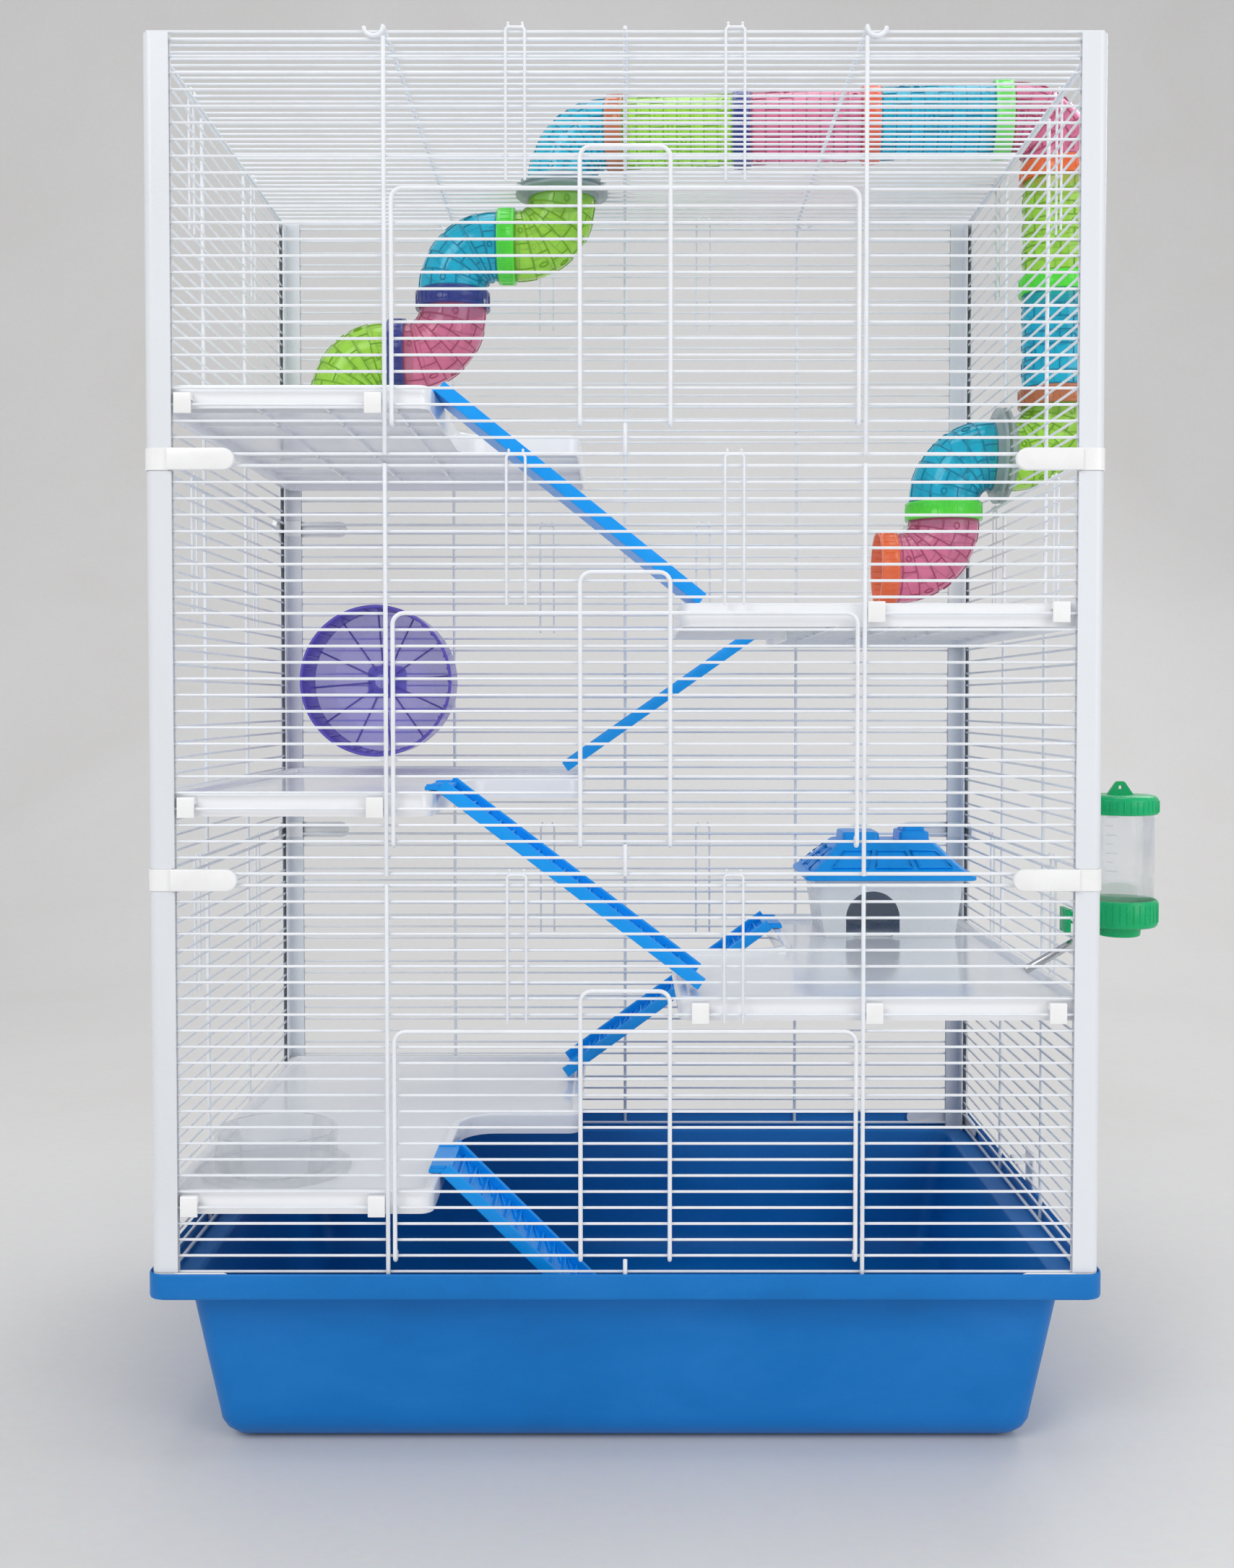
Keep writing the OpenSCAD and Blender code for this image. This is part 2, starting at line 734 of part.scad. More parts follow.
// spool that grips the cut wires on both sides of a wall
module flange() {
    linear_extrude(16, center = true) difference() {
        circle(r = tube_r + fit + 2.2, $fn = 96);
        circle(r = tube_r + fit, $fn = 96);
    }
    for (z = [1.2, -4]) translate([0, 0, z]) linear_extrude(2.8) difference() {
        circle(r = flange_r, $fn = 96);
        circle(r = tube_r + fit + 1, $fn = 96);
    }
}

// heights of the inner left run
upper_run_z = roof_z - elbow_leg;
lower_run_z = roof_z - 3 * elbow_leg;

module on_roof(dist) {
    translate([drop_x, drop_y, run_z]) rotate([0, 0, -run_yaw]) translate([dist, 0, 0]) children();
}

module tube_01_elbow() {
    color("greenyellow") translate([drop_x - 4 * elbow_leg, drop_y, lower_run_z]) mirror([1, 0, 0]) elbow();
}
module tube_02_elbow() {
    color("hotpink") translate([drop_x - 2 * elbow_leg, drop_y, lower_run_z]) mirror([0, 0, 1]) elbow();
}
module tube_03_elbow() {
    color("deepskyblue") translate([drop_x - 2 * elbow_leg, drop_y, upper_run_z]) mirror([1, 0, 0]) elbow();
}
module tube_04_elbow() {
    color("greenyellow") translate([drop_x, drop_y, upper_run_z]) mirror([0, 0, 1]) elbow();
}
module tube_05_elbow() {
    color("deepskyblue") on_roof(0) mirror([1, 0, 0]) elbow();
}

module roof_tube(k) {
    on_roof(elbow_leg + k * long_tube + joint_gap) rotate([0, 90, 0]) pipe(long_tube - 2 * joint_gap);
}
module tube_06_straight() { color("greenyellow") roof_tube(0); }
module tube_07_straight() { color("hotpink") roof_tube(1); }
module tube_08_straight() { color("deepskyblue") roof_tube(2); }
module tube_09_elbow() {
    color("hotpink") on_roof(run_len) elbow();
}

module riser_tube(k) {
    translate([riser_x, riser_y, roof_z - (k + 1) * short_tube + joint_gap])
        pipe(short_tube - 2 * joint_gap);
}
module tube_10_straight() { color("greenyellow") riser_tube(0); }
module tube_11_straight() { color("deepskyblue") riser_tube(1); }
module tube_12_elbow() {
    color("greenyellow") translate([riser_x, riser_y, wall_z]) mirror([0, 0, 1]) elbow();
}
module tube_13_elbow() {
    color("deepskyblue") translate([wall_x - elbow_leg, riser_y, wall_z]) mirror([1, 0, 0]) elbow();
}
module tube_14_elbow() {
    color("hotpink") translate([wall_x - elbow_leg, riser_y, wall_z - 2 * elbow_leg])
        mirror([0, 0, 1]) elbow();
}

module tube_rings() {
    color("orange") {
        translate([drop_x - 4 * elbow_leg, drop_y, lower_run_z - elbow_leg - 1.5]) ring();
        translate([drop_x - 3 * elbow_leg, drop_y, lower_run_z]) rotate([0, 90, 0]) ring();
        translate([drop_x - 2 * elbow_leg, drop_y, lower_run_z + elbow_leg]) ring();
        translate([drop_x - elbow_leg, drop_y, upper_run_z]) rotate([0, 90, 0]) ring();
        for (k = [0:3]) on_roof(elbow_leg + k * long_tube) rotate([0, 90, 0]) ring();
        for (k = [0:2]) translate([riser_x, riser_y, roof_z - k * short_tube]) ring();
        translate([wall_x - elbow_leg, riser_y, wall_z - elbow_leg]) ring();
        translate([wall_x - 2 * elbow_leg - 1.5, riser_y, wall_z - 2 * elbow_leg])
            rotate([0, 90, 0]) ring();
    }
}

module roof_flange() {
    color("lightgray") translate([drop_x, drop_y, roof_z]) flange();
}
module wall_flange() {
    color("lightgray") translate([wall_x, riser_y, wall_z]) rotate([0, 90, 0]) flange();
}

// ---------- assembly ----------

tray();
posts_front_left();
posts_front_right();
posts_back_left();
posts_back_right();
base_corner_brackets();
lower_corner_connectors();
upper_corner_connectors();
front_panel_lower();
front_panel_middle();
front_panel_upper();
back_panels();
left_panels();
right_panels();
roof_panel();
door_lower();
door_middle();
door_upper();
shelf_1_left();
shelf_2_right();
shelf_3_left();
shelf_4_right();
shelf_5_left();
shelf_clips();
ramp_1();
ramp_2();
ramp_3();
ramp_4();
ramp_5();
wheel();
wheel_bracket();
wheel_axle_cap();
house_base();
house_roof();
food_dish();
bottle_cap();
bottle_body();
bottle_base();
bottle_spout();
spout_ball();
tube_01_elbow();
tube_02_elbow();
tube_03_elbow();
tube_04_elbow();
tube_05_elbow();
tube_06_straight();
tube_07_straight();
tube_08_straight();
tube_09_elbow();
tube_10_straight();
tube_11_straight();
tube_12_elbow();
tube_13_elbow();
tube_14_elbow();
tube_rings();
roof_flange();
wall_flange();
latch_left();
latch_right();
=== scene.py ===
import math
import bmesh
import bpy
from mathutils import Matrix, Vector


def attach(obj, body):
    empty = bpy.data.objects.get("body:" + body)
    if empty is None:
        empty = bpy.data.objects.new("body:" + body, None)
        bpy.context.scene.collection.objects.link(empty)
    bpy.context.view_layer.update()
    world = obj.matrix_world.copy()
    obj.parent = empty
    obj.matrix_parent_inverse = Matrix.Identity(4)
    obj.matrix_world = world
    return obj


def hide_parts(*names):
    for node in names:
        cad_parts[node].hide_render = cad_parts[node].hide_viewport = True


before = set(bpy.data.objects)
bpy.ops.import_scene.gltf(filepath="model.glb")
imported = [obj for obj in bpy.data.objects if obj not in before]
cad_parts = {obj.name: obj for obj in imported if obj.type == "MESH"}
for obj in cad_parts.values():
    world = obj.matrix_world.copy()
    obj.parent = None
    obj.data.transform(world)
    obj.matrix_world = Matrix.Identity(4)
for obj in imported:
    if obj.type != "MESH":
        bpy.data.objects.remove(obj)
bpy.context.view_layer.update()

MM = 0.001
CAGE = "cage"

# ---------------------------------------------------------------- sizes of the cage, millimetres
HALF_W, HALF_D = 303, 200
STORY, BASE_Z = 266, 108
ROOF_Z = BASE_Z + 3 * STORY + 1
EDGE = 3.7
PITCH = (STORY - 2 * EDGE) / 25
WALL_X, WALL_Y = 300, 197
POST_LEG = 17
ROD, WIRE, BORDER = 1.4, 0.9, 1.2
SHELF_Z = [BASE_Z + up for up in (65, 190, 321, 442, 580)]
SHELF_X, SHELF_Y = 296.5, 193.5
TUBE_R, TUBE_IN, LEG, BEND = 27.5, 25.7, 45, 36
DROP = (-52, 109)
CROSS_Z = BASE_Z + 576
LATCH_X, LATCH_Z = HALF_W + 7.5, BASE_Z + 4
PIN_R, PIN_FIT, BARREL_R, LUG_Y, LUG_R = 1.5, 0.3, 3, 13, 4
WHEEL_X, WHEEL_Z, WHEEL_R, WHEEL_DEEP = -210, BASE_Z + 397, 63.5, 52
HUT_X, HUT_Y, HUT_H = 217, 130, 47
DISH_X, DISH_Y = -238, -131
BOTTLE_X, BOTTLE_Y, BOTTLE_Z = 332.5, -140, BASE_Z + 225
CAP_R, BODY_R = 25, 22.5
RAMP_W, RAMP_Y, FIRST_RAMP_Y, TREAD = 62, 140, 127, 11
FLOOR_BELOW_RIM = 4
CUT, ROOF_END = 32, 300.4
GRIP_IN, RIB_R = 27.85, 0.62
YAW = math.radians(6)
RISER_X = WALL_X + LEG
RISER_Y = DROP[1] - (RISER_X - DROP[0]) * math.tan(YAW)
RUN = (RISER_X - DROP[0]) / math.cos(YAW)
LONG = (RUN - 2 * LEG) / 3
SHORT = (ROOF_Z - CROSS_Z - LEG) / 2


def level(k):
    return BASE_Z + k * STORY


def row(i):
    return i * PITCH


# ---------------------------------------------------------------- shapes
def move(x=0.0, y=0.0, z=0.0):
    return Matrix.Translation((x, y, z))


def turn(axis, degrees):
    return Matrix.Rotation(math.radians(degrees), 4, axis)


def flip(x=1, y=1, z=1):
    return Matrix.Diagonal((x, y, z, 1))


HERE = Matrix.Identity(4)


def circle(r, z=0.0, n=48):
    step = 2 * math.pi / n
    return [(r * math.cos(i * step), r * math.sin(i * step), z) for i in range(n)]


def rounded(points, radii, steps=6):
    """A flat outline whose corners, inner or outer, are rounded to their own radii."""
    loop = []
    for i, corner in enumerate(points):
        b = Vector(corner)
        u = (Vector(points[i - 1]) - b).normalized()
        v = (Vector(points[(i + 1) % len(points)]) - b).normalized()
        half = u.angle(v) / 2
        r = max(radii[i], 0.02)
        centre = b + (u + v).normalized() * r / math.sin(half)
        s = b + u * r / math.tan(half) - centre
        e = b + v * r / math.tan(half) - centre
        sweep = math.atan2(s.x * e.y - s.y * e.x, s.dot(e))
        for k in range(steps + 1):
            q = sweep * k / steps
            loop.append((centre.x + s.x * math.cos(q) - s.y * math.sin(q),
                         centre.y + s.x * math.sin(q) + s.y * math.cos(q)))
    return loop


def rectangle(hx, hy, r, z, steps=6):
    """A level rounded rectangle, from its half sizes."""
    flat = rounded([(-hx, -hy), (hx, -hy), (hx, hy), (-hx, hy)], [r] * 4, steps)
    return [(x, y, z) for x, y in flat]


def bend(path, radius, steps=5):
    """A path whose corners are bent to a radius, as wire is."""
    pts = [Vector(p) for p in path]
    out = [pts[0]]
    for a, b, c in zip(pts, pts[1:], pts[2:]):
        u, v = (a - b).normalized(), (c - b).normalized()
        half = u.angle(v) / 2
        centre = b + (u + v).normalized() * radius / math.sin(half)
        s, e = b + u * radius / math.tan(half) - centre, b + v * radius / math.tan(half) - centre
        axis = s.cross(e).normalized()
        out += [centre + Matrix.Rotation(s.angle(e) * k / steps, 3, axis) @ s for k in range(steps + 1)]
    return out + [pts[-1]]


class Shape:
    """Points in millimetres and faces, gathered from several solids into one mesh."""

    def __init__(self):
        self.points, self.faces = [], []

    def add(self, points, faces, place=HERE):
        start = len(self.points)
        self.points += [place @ Vector(p) for p in points]
        self.faces += [[start + i for i in f] for f in faces]

    def loft(self, loops, place=HERE, closed=False):
        """Skin over a row of loops, with both ends filled or the last joined to the first."""
        n, rows = len(loops[0]), len(loops)
        faces = []
        for i in range(rows if closed else rows - 1):
            a, b = i * n, (i + 1) % rows * n
            faces += [[a + j, a + (j + 1) % n, b + (j + 1) % n, b + j] for j in range(n)]
        if not closed:
            faces += [list(range(n))[::-1], [(rows - 1) * n + j for j in range(n)]]
        self.add([p for loop in loops for p in loop], faces, place)

    def lathe(self, profile, place=HERE, n=64, closed=True):
        self.loft([circle(r, z, n) for r, z in profile], place, closed)

    def prism(self, outline, z0, z1, place=HERE):
        self.loft([[(x, y, z) for x, y in outline] for z in (z0, z1)], place)

    def block(self, low, high, place=HERE):
        (x0, y0, z0), (x1, y1, z1) = low, high
        self.prism([(x0, y0), (x1, y0), (x1, y1), (x0, y1)], z0, z1, place)

    def rod(self, path, r, place=HERE, sides=10, closed=False):
        """A round wire along a path, with softly rounded ends."""
        pts = [Vector(p) for p in path]
        n = len(pts)
        heading = []
        for i in range(n):
            a = pts[(i - 1) % n] if closed or i else pts[i]
            b = pts[(i + 1) % n] if closed or i < n - 1 else pts[i]
            heading.append((b - a).normalized())
        side = heading[0].orthogonal().normalized()
        loops = []
        for i, (p, t) in enumerate(zip(pts, heading)):
            side = (side - t * side.dot(t)).normalized()
            other = t.cross(side)
            ring = [(side * math.cos(q) + other * math.sin(q))
                    for q in (2 * math.pi * k / sides for k in range(sides))]
            if i == 0 and not closed:
                loops += [[p + t * back * r + d * wide * r for d in ring]
                          for back, wide in ((0, 0.55), (0.12, 0.86))]
                loops.append([p + t * 0.4 * r + d * r for d in ring])
            elif i == n - 1 and not closed:
                loops.append([p - t * 0.4 * r + d * r for d in ring])
                loops += [[p - t * back * r + d * wide * r for d in ring]
                          for back, wide in ((0.12, 0.86), (0, 0.55))]
            else:
                loops.append([p + d * r for d in ring])
        self.loft(loops, place, closed)


# ---------------------------------------------------------------- finishes
FINISHES = {}


def finish(name, colour, rough, slot=None, cloud=14, fleck=900, vary=0.10, shift=0.02, bump=0.12,
           grain=(1, 1, 1), metal=0.0, clear=0.0, alpha=1.0, coat=0.0, ior=1.46, milk=0.0):
    """Moulded or painted surface: clouded colour, fine flecks, uneven gloss and a shallow relief."""
    mat = bpy.data.materials.new(name)
    mat.use_nodes = True
    tree = mat.node_tree
    bsdf = tree.nodes["Principled BSDF"]

    def node(kind, **values):
        made = tree.nodes.new(kind)
        for key, value in values.items():
            if key in made.inputs:
                made.inputs[key].default_value = value
            else:
                setattr(made, key, value)
        return made

    def join(a, out, b, into):
        tree.links.new(a.outputs[out], b.inputs[into])

    coord = node("ShaderNodeTexCoord")
    stretch = node("ShaderNodeMapping")
    stretch.inputs["Scale"].default_value = grain
    join(coord, "Object", stretch, "Vector")
    clouds = node("ShaderNodeTexNoise", Scale=cloud, Detail=5.0, Roughness=0.62, Distortion=0.35)
    flecks = node("ShaderNodeTexNoise", Scale=fleck, Detail=3.0, Roughness=0.7)
    pits = node("ShaderNodeTexVoronoi", Scale=fleck * 0.45)
    join(stretch, "Vector", clouds, "Vector")
    join(coord, "Object", flecks, "Vector")
    join(coord, "Object", pits, "Vector")

    ramp = node("ShaderNodeValToRGB")
    stops = ramp.color_ramp.elements
    stops[0].position, stops[1].position = 0.28, 0.74
    middle = stops.new(0.5)
    dark = [max(0.0, c * (1 - vary) - shift * i * 0.3) for i, c in enumerate(colour)]
    light = [min(1.0, c * (1 + vary * 0.6) + shift * 0.4) for c in colour]
    stops[0].color, middle.color, stops[2].color = (*dark, 1), (*colour, 1), (*light, 1)
    join(clouds, "Fac", ramp, "Fac")
    tint = node("ShaderNodeMix", data_type="RGBA", blend_type="OVERLAY")
    tint.inputs[0].default_value = 0.10 + vary * 0.4
    join(ramp, "Color", tint, 6)
    join(flecks, "Color", tint, 7)
    join(tint, 2, bsdf, "Base Color")

    mixed = node("ShaderNodeMath", operation="ADD")
    join(clouds, "Fac", mixed, 0)
    join(flecks, "Fac", mixed, 1)
    gloss = node("ShaderNodeMapRange")
    gloss.inputs["From Min"].default_value = 0.6
    gloss.inputs["From Max"].default_value = 1.4
    gloss.inputs["To Min"].default_value = rough[0]
    gloss.inputs["To Max"].default_value = rough[1]
    join(mixed, "Value", gloss, "Value")
    join(gloss, "Result", bsdf, "Roughness")

    height = node("ShaderNodeMath", operation="MULTIPLY_ADD")
    height.inputs[1].default_value = 0.55
    join(pits, "Distance", height, 0)
    join(flecks, "Fac", height, 2)
    relief = node("ShaderNodeBump", Strength=bump, Distance=0.0004)
    join(height, "Value", relief, "Height")
    join(relief, "Normal", bsdf, "Normal")

    for socket, value in (("Metallic", metal), ("Transmission Weight", clear), ("Alpha", alpha), ("IOR", ior),
                          ("Coat Weight", coat), ("Coat Roughness", 0.08), ("Subsurface Weight", milk)):
        bsdf.inputs[socket].default_value = value
    if milk:
        bsdf.inputs["Subsurface Radius"].default_value = (0.004, 0.004, 0.004)
    FINISHES[name] = (mat, slot or name)


finish("white_wire", (0.86, 0.89, 0.93), (0.28, 0.48), cloud=40, fleck=1600, vary=0.06, coat=0.2)
finish("white_door_wire", (0.88, 0.90, 0.93), (0.24, 0.42), cloud=40, fleck=1600, vary=0.05, coat=0.25)
finish("white_post", (0.80, 0.83, 0.87), (0.25, 0.42), cloud=9, fleck=700, vary=0.05, grain=(1, 1, 0.25),
       coat=0.15)
finish("white_clip", (0.93, 0.93, 0.93), (0.16, 0.30), cloud=30, fleck=900, vary=0.04, coat=0.3)
finish("white_shelf", (0.94, 0.95, 0.97), (0.10, 0.22), cloud=8, fleck=600, vary=0.04, shift=0.01, coat=0.4)
finish("blue_tray", (0.0, 0.172, 0.540), (0.34, 0.48), cloud=7, fleck=800, vary=0.12, grain=(1, 1, 2.5),
       ior=1.36)
finish("blue_ramp", (0.0, 0.36, 0.98), (0.26, 0.40), cloud=25, fleck=900, vary=0.10, ior=1.4)
finish("purple_wheel", (0.36, 0.31, 0.98), (0.14, 0.26), cloud=22, vary=0.12, clear=0.15, alpha=0.50,
       coat=0.2)
finish("purple_wheel_rib", (0.16, 0.12, 0.66), (0.16, 0.30), "purple_wheel", cloud=22, vary=0.12, clear=0.1,
       alpha=0.90)
finish("lilac_plastic", (0.36, 0.33, 0.78), (0.20, 0.34), cloud=30, vary=0.12, coat=0.2)
finish("milky_plastic", (0.93, 0.97, 1.0), (0.20, 0.34), cloud=16, vary=0.03, shift=0.01, alpha=0.85,
       milk=0.25)
finish("clear_plastic", (0.93, 0.96, 1.0), (0.03, 0.10), cloud=20, vary=0.04, clear=0.90, alpha=0.36,
       bump=0.04)
finish("green_plastic", (0.0, 0.45, 0.16), (0.22, 0.36), cloud=25, vary=0.12, ior=1.4)
finish("steel", (0.56, 0.56, 0.58), (0.12, 0.28), cloud=60, fleck=1800, vary=0.10, metal=1.0,
       grain=(1, 1, 12), bump=0.05)
TUBE_COLOURS = {"green": (0.66, 1.0, 0.20), "pink": (1.0, 0.42, 0.62), "blue": (0.04, 0.76, 0.96)}
for shade, colour in TUBE_COLOURS.items():
    finish(shade + "_tube", colour, (0.04, 0.12), cloud=26, vary=0.12, clear=0.74, ior=1.06, coat=0.6,
           bump=0.06)
    finish(shade + "_tube_rib", [c * c * 0.5 for c in colour], (0.06, 0.16), shade + "_tube", cloud=26,
           vary=0.12, clear=0.25, ior=1.3, coat=0.4, bump=0.06)
finish("frosted_plastic", (0.46, 0.54, 0.56), (0.25, 0.40), cloud=26, vary=0.08, clear=0.2, alpha=0.60,
       bump=0.1)
RINGS = {
    "lime": (0.12, 0.95, 0.06), "navy": (0.03, 0.05, 0.32), "brown": (0.66, 0.20, 0.08),
    "red": (1.0, 0.17, 0.08), "mint": (0.24, 0.95, 0.22), "orange": (1.0, 0.20, 0.05),
}
for shade, colour in RINGS.items():
    finish("ring_" + shade, colour, (0.10, 0.22), "tube_ring", cloud=24, vary=0.12, clear=0.1, alpha=0.72,
           coat=0.3)


def piece(name, shape, look, body=CAGE, stands_for=(), bevel=0.0, sharp=38):
    """One mesh from a shape, which rides a body and stands for some CAD nodes."""
    mesh = bpy.data.meshes.new(name)
    mesh.from_pydata([tuple(p * MM) for p in shape.points], [], shape.faces)
    work = bmesh.new()
    work.from_mesh(mesh)
    bmesh.ops.recalc_face_normals(work, faces=work.faces)
    work.to_mesh(mesh)
    work.free()
    mesh.shade_smooth()
    mesh.set_sharp_from_angle(angle=math.radians(sharp))
    obj = bpy.data.objects.new(name, mesh)
    bpy.context.scene.collection.objects.link(obj)
    mat, slot = FINISHES[look]
    mesh.materials.append(mat)
    if bevel:
        soft = obj.modifiers.new("soft edges", "BEVEL")
        soft.width, soft.segments = bevel * MM, 2
        soft.limit_method, soft.angle_limit = "ANGLE", math.radians(40)
        soft.harden_normals = True
    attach(obj, body)
    if stands_for:
        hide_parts(*stands_for)
    return obj


def deepen(obj, first, look):
    """Ribs, from the face numbered first on, are thicker plastic and so a deeper colour."""
    obj.data.materials.append(FINISHES[look][0])
    for face in obj.data.polygons[first:]:
        face.material_index = 1


def keep(node, look):
    """Gives a CAD node that shows its finish."""
    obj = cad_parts[node]
    mat, slot = FINISHES[look]
    obj.data.materials.clear()
    obj.data.materials.append(mat)


# ---------------------------------------------------------------- tray
def tray():
    s = Shape()
    arc = [math.radians(q) for q in (0, 18, 36, 54, 72, 90)]
    top = BASE_Z + 14
    loops = [rectangle(248.5 + 20 * math.sin(q), 157.5 + 20 * math.sin(q), 6 + 8 * math.sin(q),
                       20 - 20 * math.cos(q), 8) for q in arc]
    for hx, hy, r, z in ((276.4, 180.7, 14, 60), (284.6, 183.9, 14, top - 19.4),
                         (285.3, 184.4, 14, top - 17.6), (287, 186, 14, top - 17),
                         (304, 201.2, 10, top - 17), (305.6, 202.7, 10.6, top - 16.2),
                         (306, 203, 11, top - 14.8), (306, 203, 11, top - 1.4),
                         (305.7, 202.7, 10.6, top - 0.4), (305.1, 202.1, 10, top),
                         (304.8, 201.8, 9.6, top - 0.6), (304.5, 201.5, 9.4, top - 13.2),
                         (303.7, 200.7, 9, BASE_Z + 0.1), (286, 185, 13, BASE_Z + 0.1),
                         (284, 183, 12.4, BASE_Z - 0.6),
                         (283, 182.2, 12, BASE_Z - 2.4), (274, 178.2, 12, 60)):
        loops.append(rectangle(hx, hy, r, z, 8))
    loops += [rectangle(248.5 + 17.5 * math.sin(q), 157.5 + 17.5 * math.sin(q), 5 + 6.5 * math.sin(q),
                        20 - 17.5 * math.cos(q), 8) for q in reversed(arc)]
    s.loft(loops)
    # lugs for the two latches, bored for their pins
    around = [2 * math.pi * k / 48 for k in range(48)]
    root = LATCH_X - HALF_W - 2
    reach = [LUG_R if math.cos(q) > -0.01 else min(LUG_R / max(abs(math.sin(q)), 0.01), -root / math.cos(q))
             for q in around]
    hole = PIN_R + PIN_FIT
    lug = [(root + r * math.cos(q), r * math.sin(q)) for q, r in zip(around, reach)]
    bore = [(root + hole * math.cos(q), hole * math.sin(q)) for q in around]
    for sx in (-1, 1):
        for sy in (-1, 1):
            place = flip(x=sx) @ move(HALF_W + 2, sy * LUG_Y, LATCH_Z)
            s.loft([[(x, y, z) for x, z in loop]
                    for y, loop in ((-2, lug), (2, lug), (2, bore), (-2, bore))], place, closed=True)
    piece("tray_shell", s, "blue_tray", stands_for=["tray"], sharp=50)


def latches():
    snap = level(0) + EDGE + row(2.5) - 1
    for side, sx in (("left", -1), ("right", 1)):
        s = Shape()
        place = flip(x=sx)
        x = LATCH_X
        s.rod([(x, -LUG_Y - 1.8, LATCH_Z), (x, LUG_Y + 1.8, LATCH_Z)], PIN_R, place, 16)
        s.rod([(x + 0.5, -9.9, LATCH_Z), (x + 0.5, 9.9, LATCH_Z)], BARREL_R, place, 20)
        s.prism(rounded([(x - 1, -10), (x + 2, -10), (x + 2, 10), (x - 1, 10)], [0.8] * 4, 3), LATCH_Z,
                snap + 8, place)
        s.block((WALL_X - 3, -7, snap - 1.8), (x, 7, snap + 1.8), place)
        for k in range(4):
            s.rod([(x + 2, -6, LATCH_Z + 8 + 3 * k), (x + 2, 6, LATCH_Z + 8 + 3 * k)], 0.7, place, 8)
        piece(f"latch_{side}_lever", s, "white_clip", f"{side}_latch", [f"latch_{side}"], 0.4)


# ---------------------------------------------------------------- corner parts
CORNERS = [(-1, -1), (1, -1), (-1, 1), (1, 1)]


def at_corner(sx, sy, z=0.0):
    """Corner parts are drawn inwards from the outer corner at the front left."""
    return flip(x=-sx, y=-sy) @ move(-HALF_W, -HALF_D, z)


def finger(s, place, length, h, t, y0):
    """Flat arm with a round end, domed a little on its outer face."""
    x1 = POST_LEG + length - h / 2
    outline = [(POST_LEG - 2, -h / 2)]
    outline += [(x1 + h / 2 * math.sin(q), -h / 2 * math.cos(q))
                for q in (math.pi * k / 14 for k in range(15))]
    outline.append((POST_LEG - 2, h / 2))
    centre = (POST_LEG + x1) / 2

    def shrunk(d, y):
        return [(x if x < POST_LEG else x - d * (x - centre) / abs(x - centre) if x > x1 else x,
                 y, z * (1 - d / (h / 2))) for x, z in outline]
    s.loft([shrunk(0.8, y0), shrunk(0.25, y0 + 0.25), shrunk(0, y0 + 0.9),
            shrunk(0, y0 + t - 0.3), shrunk(0.3, y0 + t)], place)


def angle_outline(inner, thick, r, leg):
    """An angle section whose outer corner is at (inner, inner)."""
    a, b = inner, inner + thick
    return rounded([(a, a), (leg, a), (leg, b), (b, b), (b, leg), (a, leg)],
                   [r, 0.4, 0.4, max(r - thick, 0.3), 0.4, 0.4], 5)


def connectors():
    swap = Matrix(((0, 1, 0, 0), (1, 0, 0, 0), (0, 0, 1, 0), (0, 0, 0, 1)))
    for node, story in (("lower_corner_connectors", 1), ("upper_corner_connectors", 2)):
        s = Shape()
        for sx, sy in CORNERS:
            place = at_corner(sx, sy, level(story))
            s.prism(angle_outline(-0.9, 2.4, 6.9, POST_LEG + 0.4), -7, 7, place)
            s.prism(angle_outline(4.5, 1.2, 0.4, POST_LEG), -7, 7, place)
            s.block((1, 1, -7), (5, 5, 7), place)
            finger(s, place, 40, 14, 4.4, -2.9)
            finger(s, place @ swap, 14, 14, 4.4, -2.9)
        piece(node + "_moulded", s, "white_clip", stands_for=[node], bevel=0.35, sharp=45)
    s = Shape()
    for sx, sy in CORNERS:
        place = at_corner(sx, sy, BASE_Z)
        s.prism(angle_outline(0, 1.5, 6, POST_LEG), 0.3, 13.9, place)
        s.prism(angle_outline(4.5, 1.2, 0.4, POST_LEG), 0.3, 13.9, place)
        finger(s, place @ move(z=8), 34, 12, 1.7, -0.3)
        finger(s, place @ move(z=8) @ swap, 34, 12, 1.7, -0.3)
    piece("base_corner_brackets_moulded", s, "white_clip", stands_for=["base_corner_brackets"], bevel=0.3,
          sharp=45)


